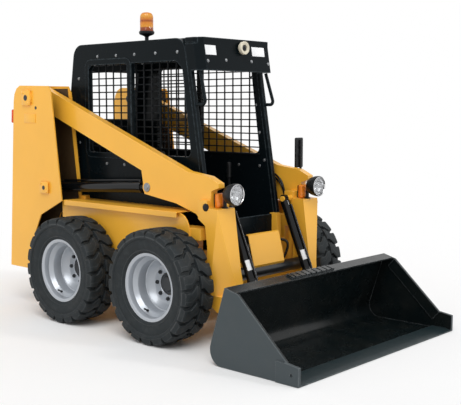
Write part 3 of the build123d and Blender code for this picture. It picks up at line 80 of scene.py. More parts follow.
# Leaning header over the cab's doorway: its face at one height, and how far it comes forward per metre down
HEADER_X = 0.994
HEADER_Z = 2.005
HEADER_SLOPE = 0.165

# Linkage points, (x, z)
BOOM_PIVOT = (-0.64, 1.645)
LIFT_BASE = (-0.43, 0.957)
LIFT_EYE = (0.603, 1.012)
TILT_BASE = Vector((1.185, 0, 0.911))
TILT_EYE = Vector((1.45, 0, 0.3))
TILT_Y = 0.3
TILT_BARREL_RADIUS = 0.034
KNEE_PLUG = (1.2, 0.916)
CROSS_TUBE = (1.262, 0.44)
CROSS_TUBE_RADIUS = 0.044

# Tyres
TYRE_RADIUS = 0.3875
LUG_COUNT = 21
LUG_WIDTH = 0.084
LUG_SWEEP = 0.042
LUG_DRAFT = 0.006
LUG_BASE = 0.35
LUG_EDGE = 0.0045

# Seat pads
PAD_VOXEL = 0.007
PAD_INSET = 0.012
PAD_CORNER = 0.03
PAD_PRESSURE = 4.0
PAD_FRAMES = 20
PAD_TRAVEL = 0.02
CHANNEL_DEPTH = 0.009
CHANNEL_WIDTH = 0.05
PIPING_RADIUS = 0.0042
PIPING_STEPS = 160
PIPING_DROP = 0.034


def at(x, y, z):
    """A place in the frame from x ahead of the rear axle."""
    return Vector((REAR_AXLE + x, y, z))


def header_x(z):
    """Where the leaning header's face is at one height."""
    return HEADER_X + (HEADER_Z - z) * HEADER_SLOPE


def shade(rgb, factor):
    """A colour made lighter or darker."""
    return tuple(min(1.0, channel * factor) for channel in rgb)


def mm(*points):
    """Points of a profile, (radius, height) in millimetres."""
    return [(radius / 1000, height / 1000) for radius, height in points]


def put(name, data):
    """Adds an object to the scene."""
    made = bpy.data.objects.new(name, data)
    bpy.context.scene.collection.objects.link(made)
    return made


def aim(made, way):
    """Turns a lamp or the camera to look one way."""
    made.rotation_mode = "QUATERNION"
    made.rotation_quaternion = Vector(way).to_track_quat("-Z", "Y")


def to_mesh(name, bm):
    """Ends a mesh's construction."""
    mesh = bpy.data.meshes.new(name)
    bm.to_mesh(mesh)
    bm.free()
    return mesh


# Materials

# How far an edge's averaged direction has turned where its mask ends and starts, as cosines
EDGE_START = 0.9
EDGE_END = 0.996
BUMP_DISTANCE = 0.001
DUST = (0.2, 0.165, 0.12)
DUST_LOW = 0.15
DUST_HIGH = 0.95
LENS_IOR = 1.49


class Finish:
    """A material with its node tree and short ways to add nodes."""

    def __init__(self, name, **settings):
        self.material = bpy.data.materials.new(name)
        self.material.use_nodes = True
        self.tree = self.material.node_tree
        self.shader = self.tree.nodes["Principled BSDF"]
        self.coords = self.node("ShaderNodeTexCoord").outputs["Object"]
        for socket, value in settings.items():
            self.shader.inputs[socket.replace("_", " ")].default_value = value

    def node(self, kind, sockets=None, **values):
        """A new node with its own values, then its sockets' values."""
        made = self.tree.nodes.new(kind)
        for key, value in values.items():
            setattr(made, key, value)
        for socket, value in (sockets or {}).items():
            made.inputs[socket].default_value = value
        return made

    def link(self, source, target):
        self.tree.links.new(source, target)

    def noise(self, scale, detail=4.0, roughness=0.55, stretch=None):
        made = self.node("ShaderNodeTexNoise", {"Scale": scale, "Detail": detail, "Roughness": roughness})
        source = self.coords
        if stretch:
            mapping = self.node("ShaderNodeMapping", {"Scale": stretch})
            self.link(source, mapping.inputs["Vector"])
            source = mapping.outputs["Vector"]
        self.link(source, made.inputs["Vector"])
        return made.outputs["Fac"]

    def ramp(self, factor, stops):
        """Colour ramp; stops are (position, rgb)."""
        made = self.node("ShaderNodeValToRGB")
        elements = made.color_ramp.elements
        while len(elements) < len(stops):
            elements.new(0.5)
        for element, (position, rgb) in zip(elements, stops):
            element.position = position
            element.color = (*rgb, 1)
        self.link(factor, made.inputs["Fac"])
        return made.outputs["Color"]

    def spread(self, factor, low, high, start=0.3, end=0.7):
        limits = {"From Min": start, "From Max": end, "To Min": low, "To Max": high}
        made = self.node("ShaderNodeMapRange", limits)
        self.link(factor, made.inputs["Value"])
        return made.outputs["Result"]

    def mixed(self, factor, first, second):
        """Mix of two colours, each a socket or an rgb value."""
        made = self.node("ShaderNodeMix", data_type="RGBA")
        self.link(factor, made.inputs["Factor"])
        for index, colour in ((6, first), (7, second)):
            if isinstance(colour, tuple):
                made.inputs[index].default_value = (*colour, 1)
            else:
                self.link(colour, made.inputs[index])
        return made.outputs[2]

    def calc(self, operation, first, second=0.0):
        """One sum of two values, each a socket or a number."""
        made = self.node("ShaderNodeMath", operation=operation)
        for target, value in zip(made.inputs, (first, second)):
            if isinstance(value, float):
                target.default_value = value
            else:
                self.link(value, target)
        return made.outputs[0]

    def both(self, *masks):
        """Where every mask is set."""
        result = masks[0]
        for mask in masks[1:]:
            result = self.calc("MULTIPLY", result, mask)
        return result

    def place(self):
        """Place at rest: x from the rear axle, distance from the middle plane, height."""
        split = self.node("ShaderNodeSeparateXYZ")
        self.link(self.coords, split.inputs[0])
        ahead = self.calc("SUBTRACT", split.outputs["X"], REAR_AXLE)
        return ahead, self.calc("ABSOLUTE", split.outputs["Y"]), split.outputs["Z"]

    def normal(self):
        """The surface's direction at rest."""
        split = self.node("ShaderNodeSeparateXYZ")
        self.link(self.node("ShaderNodeTexCoord").outputs["Normal"], split.inputs[0])
        return split.outputs

    def edges(self, radius):
        """Mask of edges, from the direction averaged over a small radius."""
        soft = self.node("ShaderNodeBevel", {"Radius": radius}, samples=4)
        turn = self.node("ShaderNodeVectorMath", operation="DOT_PRODUCT")
        self.link(soft.outputs["Normal"], turn.inputs[0])
        self.link(self.node("ShaderNodeNewGeometry").outputs["Normal"], turn.inputs[1])
        return self.spread(turn.outputs["Value"], 1.0, 0.0, EDGE_START, EDGE_END)

    def bump(self, height, strength):
        made = self.node("ShaderNodeBump", {"Strength": strength, "Distance": BUMP_DISTANCE})
        self.link(height, made.inputs["Height"])
        self.link(made.outputs["Normal"], self.shader.inputs["Normal"])

    def colour(self, socket):
        self.link(socket, self.shader.inputs["Base Color"])

    def rough(self, socket):
        self.link(socket, self.shader.inputs["Roughness"])


def paint(name, rgb, roughness, edge_wear_and_highlight=None, edge_mark_radius=0.004, shine=0.5, coat=0.0, dust=0.0, grain=260.0,
          peel=0.06, metallic=0.0, zone=None, zone_rgb=None, zone_roughness=None):
    """Sprayed paint: mottling, orange peel, dust low down, paler edges that are partly rubbed paint and
    partly painted highlight, and a second zone of another colour, which on the towers and inside the bucket
    is painted shade.
    """
    finish = Finish(name, Coat_Weight=coat, Coat_Roughness=0.12, Specular_IOR_Level=shine,
                    Metallic=metallic)
    base = finish.ramp(finish.noise(2.3), [(0.3, shade(rgb, 0.95)), (0.7, shade(rgb, 1.03))])
    rough = finish.spread(finish.noise(14.0), roughness - 0.03, roughness + 0.05)
    if zone:
        mask = zone(finish)
        base = finish.mixed(mask, base, zone_rgb)
        if zone_roughness:
            rough = finish.calc("ADD", rough, finish.calc("MULTIPLY", mask, zone_roughness - roughness))
    if dust:
        low = finish.spread(finish.place()[2], 1.0, 0.0, DUST_LOW, DUST_HIGH)
        film = finish.both(low, finish.spread(finish.noise(9.0, 8.0), 0.0, dust, 0.42, 0.75))
        base = finish.mixed(film, base, DUST)
    # Paler edges: partly rubbed paint, partly painted highlight along the edges.
    if edge_wear_and_highlight:
        patchy = finish.spread(finish.noise(34.0, 6.0), 0.25, 0.9, 0.4, 0.65)
        base = finish.mixed(finish.both(finish.edges(edge_mark_radius), patchy), base, edge_wear_and_highlight)
    finish.colour(base)
    finish.rough(rough)
    finish.bump(finish.noise(grain, 2.0), peel)
    return finish.material


def metal(name, rgb, roughness, stretch=(1, 1, 1), scale=120.0):
    """Machined or plated metal with fine streaks."""
    finish = Finish(name, Metallic=1.0)
    streaks = finish.noise(scale, 6.0, 0.6, stretch)
    finish.colour(finish.ramp(streaks, [(0.3, shade(rgb, 0.82)), (0.7, shade(rgb, 1.08))]))
    finish.rough(finish.spread(streaks, roughness - 0.06, roughness + 0.12))
    finish.bump(streaks, 0.04)
    return finish.material


def rubber(name, rgb, dust):
    """Tyre rubber: matt, pitted, dusty in patches and paler along its edges."""
    finish = Finish(name, Specular_IOR_Level=0.3)
    patches = finish.noise(7.0, 8.0)
    base = finish.ramp(patches, [(0.3, shade(rgb, 0.8)), (0.72, shade(rgb, 1.25))])
    film = finish.spread(finish.noise(23.0, 8.0), 0.0, dust, 0.48, 0.8)
    base = finish.mixed(film, base, (0.085, 0.09, 0.09))
    rubbed = finish.spread(finish.edges(0.006), 0.0, 0.55, 0.1, 1.0)
    finish.colour(finish.mixed(rubbed, base, (0.085, 0.09, 0.092)))
    finish.rough(finish.spread(patches, 0.58, 0.78))
    finish.bump(finish.noise(420.0, 3.0), 0.16)
    return finish.material


def plastic(name, rgb, roughness, grain=700.0, shine=0.4):
    """Moulded plastic with a fine grain."""
    finish = Finish(name, Specular_IOR_Level=shine)
    finish.colour(finish.ramp(finish.noise(5.0), [(0.3, shade(rgb, 0.85)), (0.7, shade(rgb, 1.15))]))
    finish.rough(finish.spread(finish.noise(60.0), roughness - 0.05, roughness + 0.08))
    finish.bump(finish.noise(grain, 2.0), 0.12)
    return finish.material


def vinyl(name, rgb):
    """Seat vinyl with a leather grain."""
    finish = Finish(name, Specular_IOR_Level=0.35)
    cells = finish.node("ShaderNodeTexVoronoi", {"Scale": 230.0}, feature="DISTANCE_TO_EDGE")
    finish.link(finish.coords, cells.inputs["Vector"])
    finish.colour(finish.ramp(finish.noise(6.0), [(0.3, shade(rgb, 0.8)), (0.7, shade(rgb, 1.3))]))
    finish.rough(finish.spread(finish.noise(40.0), 0.42, 0.58))
    finish.bump(cells.outputs["Distance"], 0.35)
    return finish.material


# Bands painted on the beacon dome: the bright ones are painted highlights, the dark ones painted shade of
# the parts inside.
BEACON_LIGHT_BANDS = [
    # share of the dome's height, colour
    (0.0, (0.3, 0.05, 0.005)), (0.17, (0.42, 0.08, 0.008)), (0.23, (0.98, 0.4, 0.03)),
    (0.44, (0.92, 0.3, 0.02)), (0.53, (0.46, 0.095, 0.008)), (0.62, (0.84, 0.25, 0.018)),
    (0.8, (1.0, 0.46, 0.05)), (0.96, (0.8, 0.24, 0.016)),
]


def lens(name, colour_stops, transmission, roughness=0.08, height=None):
    """Moulded lamp lens, tinted in clouds, or coloured in level bands between two heights; the beacon's
    bands are painted highlight and painted shade.
    """
    finish = Finish(name, Transmission_Weight=transmission, IOR=LENS_IOR)
    share = finish.spread(finish.place()[2], 0.0, 1.0, *height) if height else finish.noise(30.0)
    finish.colour(finish.ramp(share, colour_stops))
    finish.rough(finish.spread(finish.noise(90.0), roughness, roughness + 0.08))
    finish.bump(finish.noise(160.0, 2.0), 0.1)
    return finish.material


def clouds(rgb):
    """Tints of a plain lens."""
    return [(0.3, shade(rgb, 0.88)), (0.7, rgb)]


# Space in a tower where shade is painted: across it, its top, and its back and front as (x, z, x per metre
# up)
TOWER_INSIDE = (0.4285, 0.6115)
TOWER_TOP = 1.715
TOWER_BACK = (-0.9, 0.3, 0.0668)
TOWER_FRONT = (-0.372, 1.681, -0.135)
BUCKET_INSIDE = 0.866


def tower_shade_mask(finish):
    """Mask of the faces between a tower's plates, short of their front edges, where a dark brown shade is
    painted.
    """
    x, y, z = finish.place()
    masks = [finish.calc("LESS_THAN", z, TOWER_TOP)]
    for side, limit in zip(("GREATER_THAN", "LESS_THAN"), TOWER_INSIDE):
        masks.append(finish.calc(side, y, limit))
    for side, (limit, height, lean) in (("GREATER_THAN", TOWER_BACK), ("LESS_THAN", TOWER_FRONT)):
        upright = finish.calc("MULTIPLY", finish.calc("SUBTRACT", z, height), lean)
        masks.append(finish.calc(side, finish.calc("SUBTRACT", x, upright), limit))
    return finish.both(*masks)


def bucket_shade_mask(finish):
    """The bucket's inner faces, where shade is painted: between its sides, facing forward or up."""
    _, y, _ = finish.place()
    facing = finish.normal()
    open_way = finish.calc("GREATER_THAN", finish.calc("ADD", facing["X"], facing["Z"]), -0.3)
    return finish.both(finish.calc("LESS_THAN", y, BUCKET_INSIDE), open_way)


def cross_tube(finish):
    """The black tube between the boom's legs, under the yellow apron."""
    x, _, z = finish.place()
    squares = []
    for value, middle in zip((x, z), CROSS_TUBE):
        away = finish.calc("SUBTRACT", value, middle)
        squares.append(finish.calc("MULTIPLY", away, away))
    return finish.calc("LESS_THAN", finish.calc("ADD", *squares), (CROSS_TUBE_RADIUS + 0.0015) ** 2)


YELLOW_RGB = (0.93, 0.47, 0.042)
# Yellow paint: its paler edge colour is painted highlight, with some wear.
YELLOW_LOOK = {"edge_wear_and_highlight": (0.95, 0.62, 0.2), "edge_mark_radius": 0.003, "dust": 0.04, "coat": 0.22}
YELLOW = paint("loader_yellow", YELLOW_RGB, 0.34, **YELLOW_LOOK)
# Towers: the faces between the plates get a dark brown painted shade.
TOWER_YELLOW = paint("tower_yellow", YELLOW_RGB, 0.34, zone=tower_shade_mask, zone_roughness=0.6,
                     zone_rgb=(0.045, 0.024, 0.007), **YELLOW_LOOK)
CROSS_YELLOW = paint("cross_yellow", YELLOW_RGB, 0.34, zone=cross_tube, zone_rgb=(0.006, 0.007, 0.008),
                     **YELLOW_LOOK)
# Cab paint: its pale blue-grey edge colour is painted highlight.
CAB_BLACK = paint("cab_black", (0.003, 0.0058, 0.0075), 0.24, edge_wear_and_highlight=(0.085, 0.11, 0.125), edge_mark_radius=0.01,
                  shine=0.09)
MESH_BLACK = paint("mesh_black", (0.0045, 0.0055, 0.0065), 0.42, edge_wear_and_highlight=(0.03, 0.034, 0.038), edge_mark_radius=0.003,
                   shine=0.12)
# Bucket: the inner faces are painted near black as painted shade, with a glossier finish there.
BUCKET_GREY = paint("bucket_paint", (0.047, 0.06, 0.066), 0.5, edge_wear_and_highlight=(0.2, 0.215, 0.225), edge_mark_radius=0.005,
                    shine=0.32, dust=0.03, grain=420.0, peel=0.03, zone=bucket_shade_mask,
                    zone_rgb=(0.003, 0.0056, 0.0062), zone_roughness=0.24)
FRAME_BLACK = paint("frame_black", (0.006, 0.007, 0.008), 0.45, edge_wear_and_highlight=(0.05, 0.052, 0.054), shine=0.18,
                    dust=0.06)
CYLINDER_BLACK = paint("cylinder_black", (0.003, 0.0038, 0.0046), 0.13, edge_wear_and_highlight=(0.05, 0.055, 0.06),
                       edge_mark_radius=0.003, shine=0.3)
SILVER = paint("rim_silver", (0.43, 0.458, 0.495), 0.34, edge_wear_and_highlight=(0.72, 0.74, 0.77), edge_mark_radius=0.005, shine=0.4,
               dust=0.08, coat=0.15, metallic=0.45)
IRON = paint("engine_iron", (0.055, 0.057, 0.06), 0.6, edge_wear_and_highlight=(0.12, 0.12, 0.12), grain=90.0, peel=0.3)
STEEL = metal("bright_steel", (0.66, 0.67, 0.69), 0.2, (1, 1, 8))
ZINC = metal("zinc_bolts", (0.3, 0.31, 0.32), 0.38, scale=300.0)
DARK_NUT = metal("dark_nuts", (0.075, 0.078, 0.082), 0.42, scale=300.0)
CHROME = metal("lamp_chrome", (0.86, 0.86, 0.87), 0.08, scale=40.0)
EDGE_STEEL = paint("edge_steel", (0.009, 0.019, 0.022), 0.38, edge_wear_and_highlight=(0.24, 0.28, 0.29), edge_mark_radius=0.005,
                   shine=0.22, dust=0.03)
RUBBER = rubber("tyre_rubber", (0.0125, 0.0165, 0.0185), 0.2)
HOSE = rubber("hose_rubber", (0.008, 0.0085, 0.009), 0.08)
PLASTIC = plastic("black_plastic", (0.0075, 0.0082, 0.009), 0.4, shine=0.25)
VINYL = vinyl("seat_vinyl", (0.008, 0.008, 0.009))
CLEAR = lens("clear_lens", clouds((0.95, 0.96, 0.97)), 0.9)
AMBER = lens("amber_lens", clouds((0.96, 0.27, 0.02)), 0.12)
BEACON_HEIGHT = [corner.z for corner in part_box("beacon_lens")]
BEACON_AMBER = lens("beacon_amber", BEACON_LIGHT_BANDS, 0.2, 0.05, BEACON_HEIGHT)
RED = lens("red_lens", clouds((0.86, 0.1, 0.025)), 0.15)
CREAM = plastic("cream_reflector", (0.72, 0.66, 0.52), 0.3)
LABEL = plastic("blank_label", (0.82, 0.83, 0.84), 0.5, 900.0)
MIRROR = metal("mirror_glass", (0.82, 0.84, 0.86), 0.04, scale=8.0)


# Ways to make meshes


def piece(name, bm, material, body, replaced=(), smooth=38.0):
    """Makes a new mesh a piece."""
    bmesh.ops.recalc_face_normals(bm, faces=bm.faces)
    mesh = to_mesh(name, bm)
    mesh.shade_smooth()
    mesh.set_sharp_from_angle(angle=radians(smooth))
    return mesh_piece(name, mesh, material, body, replaced)


def mesh_piece(name, mesh, material, body, replaced=()):
    """Gives a piece its material, the body it rides on and the nodes it stands for."""
    mesh.materials.clear()
    mesh.materials.append(material)
    made = put(name, mesh)
    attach(made, body)
    if replaced:
        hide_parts(*replaced)
    return made


def join_rings(bm, rings, loop=False):
    """Skins rings of points in turn; a ring of one point is a pole."""
    count = max(len(ring) for ring in rings)
    pairs = list(zip(rings, rings[1:])) + ([(rings[-1], rings[0])] if loop else [])
    for low, high in pairs:
        for i in range(count):
            j = (i + 1) % count
            corners = (low[i % len(low)], low[j % len(low)], high[j % len(high)], high[i % len(high)])
            bm.faces.new(list(dict.fromkeys(corners)))


def add_lathe(bm, profile, matrix, segments=64, loop=False):
    """Solid turned about local Z from (radius, height) points, or from a closed loop of them."""
    rings = []
    for radius, height in profile:
        count = 1 if radius < 1e-6 else segments
        angles = [TURN * index / segments for index in range(count)]
        spots = [Vector((radius * cos(a), radius * sin(a), height)) for a in angles]
        rings.append([bm.verts.new(matrix @ spot) for spot in spots])
    join_rings(bm, rings, loop)


def add_box(bm, low, high, rounding=0.0, steps=2, matrix=UPRIGHT):
    """Box between two corners, with its edges rounded."""
    low, high = Vector(low), Vector(high)
    shape = move((low + high) / 2) @ Matrix.Diagonal((*(high - low), 1))
    made = bmesh.ops.create_cube(bm, size=1, matrix=matrix @ shape)
    if rounding:
        edges = {edge for vert in made["verts"] for edge in vert.link_edges}
        bmesh.ops.bevel(bm, geom=list(edges), offset=rounding, segments=steps, profile=0.5,
                        affect="EDGES")


def add_prism(bm, sides, radius, low, high, matrix, chamfer):
    """Prism about local Z, with a chamfered top."""
    profile = [(0, low), (radius, low), (radius, high - chamfer), (radius - chamfer, high), (0, high)]
    add_lathe(bm, profile, matrix, sides)


def rounded_rectangle(low, high, corner, steps=6):
    """Outline of a rectangle with rounded corners, as (u, v) points."""
    centres = ((high[0] - corner, high[1] - corner), (low[0] + corner, high[1] - corner),
               (low[0] + corner, low[1] + corner), (high[0] - corner, low[1] + corner))
    points = []
    for index, (u, v) in enumerate(centres):
        for step in range(steps + 1):
            angle = TURN / 4 * (index + step / steps)
            points.append((u + corner * cos(angle), v + corner * sin(angle)))
    return points


def add_ring_plate(bm, low, high, width, proud, corner, matrix):
    """Flat frame round an opening, raised from the local XY plane, with softened edges."""
    edge = 0.0015
    rings = []
    for inset, depth in ((0, -edge), (0, proud - edge), (edge, proud), (width - edge, proud),
                         (width, proud - edge), (width, -edge)):
        outline = rounded_rectangle((low[0] + inset, low[1] + inset), (high[0] - inset, high[1] - inset),
                                    max(corner - inset, 0.012))
        rings.append([bm.verts.new(matrix @ Vector((u, v, depth))) for u, v in outline])
    join_rings(bm, rings, loop=True)


def side_space(x, wall, z, side):
    """Space on a side wall: local X along the machine, local Y up, local Z outward."""
    axes = Matrix(((1, 0, 0, 0), (0, 0, side, 0), (0, 1, 0, 0), (0, 0, 0, 1)))
    return move(at(x, side * wall, z)) @ axes


def pipe_path(points):
    """Smooth line through a route's own control points, read back as points."""
    curve = bpy.data.curves.new("route", "CURVE")
    curve.dimensions = "3D"
    spline = curve.splines.new("NURBS")
    spline.points.add(len(points) - 1)
    for target, point in zip(spline.points, points):
        target.co = (*point, 1)
    spline.order_u = 3
    spline.use_endpoint_u = True
    spline.resolution_u = 8
    holder = bpy.data.objects.new("route", curve)
    line = [vertex.co.copy() for vertex in bpy.data.meshes.new_from_object(holder).vertices]
    bpy.data.objects.remove(holder)
    return line


def add_tube(bm, points, radius, sides=14, smooth=True, closed=False):
    """Round tube along a route, with closed ends, or joined to its own start."""
    line = pipe_path(points) if smooth else [Vector(point) for point in points]
    last = len(line) - 1
    rings = []
    normal = None
    for index, point in enumerate(line):
        before = line[index - 1] if closed or index else line[0]
        after = line[(index + 1) % len(line)] if closed else line[min(index + 1, last)]
        ahead = (after - before).normalized()
        if normal is None:
            normal = ahead.orthogonal().normalized()
        normal = (normal - ahead * normal.dot(ahead)).normalized()
        across = ahead.cross(normal)
        rings.append([
            bm.verts.new(point + (normal * cos(a) + across * sin(a)) * radius)
            for a in (TURN * step / sides for step in range(sides))
        ])
    join_rings(bm, rings, closed)
    if not closed:
        bm.faces.new(reversed(rings[0]))
        bm.faces.new(rings[-1])


BOLT_RADIUS = 0.008
BOLT_HEIGHT = 0.006


def bolts(name, places, facing, material=ZINC):
    """Bolt heads on washers at places of the chassis, all facing one way."""
    bm = bmesh.new()
    turn = Vector(facing).to_track_quat("Z", "X").to_matrix().to_4x4()
    for place in places:
        spot = move(place) @ turn @ Matrix.Rotation(random.uniform(0, TURN / 6), 4, "Z")
        add_prism(bm, 20, BOLT_RADIUS * 1.45, -0.002, 0.002, spot, 0.0008)
        add_prism(bm, 6, BOLT_RADIUS, 0.001, BOLT_HEIGHT, spot, BOLT_RADIUS * 0.16)
    piece(name, bm, material, "chassis")


def dress(name, material, rounding):
    """Gives a CAD node its finish and soft edges; its own mesh stays as it is."""
    node = NODES[name]
    node.data.materials.clear()
    node.data.materials.append(material)
    weld = node.modifiers.new("weld", "WELD")
    weld.merge_threshold = 1e-5
    flat = node.modifiers.new("flat", "DECIMATE")
    flat.decimate_type = "DISSOLVE"
    flat.angle_limit = radians(0.4)
    soft = node.modifiers.new("soft_edges", "BEVEL")
    soft.width = rounding
    soft.segments = 2
    soft.limit_method = "ANGLE"
    soft.angle_limit = radians(35.0)
    soft.use_clamp_overlap = True
    even = node.modifiers.new("even_shading", "WEIGHTED_NORMAL")
    even.keep_sharp = False


# Wheels

WHEELS = [(f"{end}_{label}", side) for end in ("front", "rear") for side, label in SIDES]
LUG_STATIONS = [
    # across the tread, shift along it, drop of the top
    (0.01, -LUG_SWEEP, 0.0),
    (0.034, -LUG_SWEEP, 0.0003),
    (0.054, -LUG_SWEEP / 2, 0.0008),
    (0.076, 0.0, 0.0015),
    (0.102, 0.0, 0.003),
    (0.119, 0.0, 0.0055),
    (0.1285, 0.0, 0.013),
]
LUG_COLUMNS = (-0.5, -0.17, 0.17, 0.5)
# Profiles: radius, outward
SIDEWALL = mm(
    (212.7, 93), (230, 103.5), (242, 115), (250, 118), (253, 115.5), (260, 117), (274, 122), (292, 125),
    (308, 125), (317, 123.8), (320.5, 126), (323.5, 131.5), (328, 134.2), (337, 134.5), (343, 132.5),
    (346.5, 127.5), (355, 119), (360, 106), (362, 90), (363, 50))
RIM_PROFILE = mm(
    (229, 104), (230.5, 99.5), (229, 95), (212, 94), (211, 60), (186, 37), (184, -50), (211, -72),
    (212, -94), (229, -95), (230.5, -99.5), (229, -104), (221, -104), (206, -93), (204, -76), (177, -55),
    (176.5, 32), (179, 37), (200, 55.5), (203, 60), (204.5, 88), (209, 97.5), (221, 104))
DISC_PROFILE = mm(
    (178.5, -33), (172, -36), (166, -46), (140, -70), (133, -76), (126, -78), (78, -78), (76, -80),
    (76, -90), (128, -90), (138, -87), (170, -60), (178.5, -56))
HUB_PROFILE = mm((0, -62), (46, -62), (52, -66), (56, -73), (70, -75), (70, -104), (0, -104))
NUT_SEAT = mm((15, -2), (20.5, -2), (19.5, 2.5), (16, 2.5))
VALVE_PROFILE = mm((0, -6), (8.5, -6), (8.5, 4), (5.5, 8), (5, 30), (6, 31), (6, 42), (0, 43))
VALVE_ANGLE = 112.0
VALVE_LEAN = 28.0
VALVE_PLACE = (0.186, 0, 0.047)
DISC_FACE = -0.078
NUT_COUNT = 8
NUT_CIRCLE = 0.102


def lug_template():
    """One tread lug as (along the tread, across it, radius), with softened top edges."""
    bm = bmesh.new()
    top = [
        [bm.verts.new((shift + LUG_WIDTH * u, across, TYRE_RADIUS - drop)) for u in LUG_COLUMNS]
        for across, shift, drop in LUG_STATIONS
    ]
    for low, high in zip(top, top[1:]):
        for i in range(len(LUG_COLUMNS) - 1):
            bm.faces.new((low[i], low[i + 1], high[i + 1], high[i]))
    last = len(LUG_STATIONS) - 1
    right = len(LUG_COLUMNS) - 1
    edge = [(0, u) for u in range(right + 1)]
    edge += [(v, right) for v in range(1, last + 1)]
    edge += [(last, u) for u in range(right - 1, -1, -1)]
    edge += [(v, 0) for v in range(last - 1, 0, -1)]
    base = []
    for v, u in edge:
        along, across, _ = top[v][u].co
        along += LUG_DRAFT * (-1 if u == 0 else 1 if u == right else 0)
        across += -LUG_DRAFT if v == 0 else LUG_DRAFT if v == last else 0.0
        base.append(bm.verts.new((along, across, LUG_BASE - (2 * LUG_DRAFT if v == last else 0.0))))
    rim_edge = [top[v][u] for v, u in edge]
    join_rings(bm, [rim_edge, base])
    bm.faces.new(reversed(base))
    sharp = [bm.edges.get((rim_edge[i - 1], rim_edge[i])) for i in range(len(rim_edge))]
    bmesh.ops.bevel(bm, geom=sharp, offset=LUG_EDGE, segments=2, profile=0.5, affect="EDGES")
    bm.verts.index_update()
    points = [vert.co.copy() for vert in bm.verts]
    faces = [[vert.index for vert in face.verts] for face in bm.faces]
    bm.free()
    return points, faces


def tyre(place, side, template):
    """Tyre: rounded carcass with ribbed sidewalls and two rows of lugs."""
    bm = bmesh.new()
    add_lathe(bm, SIDEWALL + [(r, -y) for r, y in reversed(SIDEWALL)], TO_Y, 120, loop=True)
    points, faces = template
    for row, shift in ((1, 0.0), (-1, 0.5)):
        for index in range(LUG_COUNT):
            middle = pi + TURN * (index + shift) / LUG_COUNT
            verts = []
            for along, across, radius in points:
                angle = middle + along / TYRE_RADIUS
                spot = (radius * sin(angle), row * side * across, radius * cos(angle))
                verts.append(bm.verts.new(spot))
            for face in faces:
                bm.faces.new([verts[i] for i in face])
    bmesh.ops.translate(bm, verts=bm.verts, vec=JOINTS[f"wheel_{place}_spin"]["pos_m"])
    node = f"tyre_{place}"
    piece(f"{node}_dressed", bm, RUBBER, f"wheel_{place}", [node], 32.0)


def rim(place, side):
    """Deep-dished rim with its mounting disc, nuts, hub and valve."""
    centre = Vector(JOINTS[f"wheel_{place}_spin"]["pos_m"])
    space = move(centre) @ Matrix.Rotation(radians(-90 * side), 4, "X")
    seat_place = move((NUT_CIRCLE, 0, DISC_FACE))
    turns = [TURN * index / NUT_COUNT for index in range(NUT_COUNT)]
    nuts = [space @ Matrix.Rotation(turn, 4, "Z") @ seat_place for turn in turns]
    body = f"wheel_{place}"
    node = f"rim_{place}"
    bm = bmesh.new()
    add_lathe(bm, RIM_PROFILE, space, 96, loop=True)
    add_lathe(bm, DISC_PROFILE, space, 96, loop=True)
    for spot in nuts:
        add_lathe(bm, NUT_SEAT, spot, 24, loop=True)
    piece(f"{node}_dressed", bm, SILVER, body, [node], 30.0)
    bm = bmesh.new()
    add_lathe(bm, HUB_PROFILE, space)
    for spot in nuts:
        add_prism(bm, 6, 0.0145, -0.001, 0.012, spot, 0.002)
        add_prism(bm, 16, 0.0065, 0.01, 0.02, spot, 0.001)
    piece(f"hub_{place}", bm, DARK_NUT, body, smooth=30.0)
    bm = bmesh.new()
    stem = space @ Matrix.Rotation(radians(VALVE_ANGLE * side), 4, "Z")
    stem = stem @ move(VALVE_PLACE) @ Matrix.Rotation(radians(-VALVE_LEAN), 4, "Y")
    add_lathe(bm, VALVE_PROFILE, stem, 18)
    piece(f"valve_{place}", bm, HOSE, body)


# Seat and controls


def applied(made):
    """An object's mesh with its modifiers worked in; the object is removed."""
    graph = bpy.context.evaluated_depsgraph_get()
    mesh = bpy.data.meshes.new_from_object(made.evaluated_get(graph))
    bpy.data.objects.remove(made)
    return mesh


def pad_block(low, high):
    """Rounded block a little smaller than a pad's solid, with an even mesh."""
    bm = bmesh.new()
    inset = Vector((PAD_INSET, PAD_INSET, PAD_INSET))
    add_box(bm, low + inset, high - inset, PAD_CORNER, 4)
    made = put("scratch", to_mesh("pad_block", bm))
    even = made.modifiers.new("even", "REMESH")
    even.mode = "VOXEL"
    even.voxel_size = PAD_VOXEL
    return applied(made)


def swell(mesh):
    """Blows a pad up as cloth under pressure, up to a furthest travel."""
    made = put("scratch", mesh)
    cloth = made.modifiers.new("cloth", "CLOTH")
    cloth.settings.use_pressure = True
    cloth.settings.uniform_pressure_force = PAD_PRESSURE
    cloth.settings.effector_weights.gravity = 0.0
    cloth.collision_settings.use_collision = False
    scene = bpy.context.scene
    for step in range(1, PAD_FRAMES + 1):
        scene.frame_set(step)
    blown = applied(made)
    scene.frame_set(1)
    for vertex, after in zip(mesh.vertices, blown.vertices):
        move = after.co - vertex.co
        vertex.co += move * min(1.0, PAD_TRAVEL / max(move.length, 1e-9))
    bpy.data.meshes.remove(blown)


def sew(mesh, low, high, facing, channels):
    """Presses sewn channels into a pad's face and keeps it in its solid's space."""
    middle = (low.y + high.y) / 2
    half = (high.y - low.y) / 2
    for vertex in mesh.vertices:
        across = (vertex.co.y - middle) / half
        groove = sum(exp(-((across - channel) / CHANNEL_WIDTH) ** 2) for channel in channels)
        front = max(0.0, vertex.normal.dot(facing))
        vertex.co -= facing * (CHANNEL_DEPTH * groove * front)
        for axis in range(3):
            vertex.co[axis] = min(max(vertex.co[axis], low[axis]), high[axis])


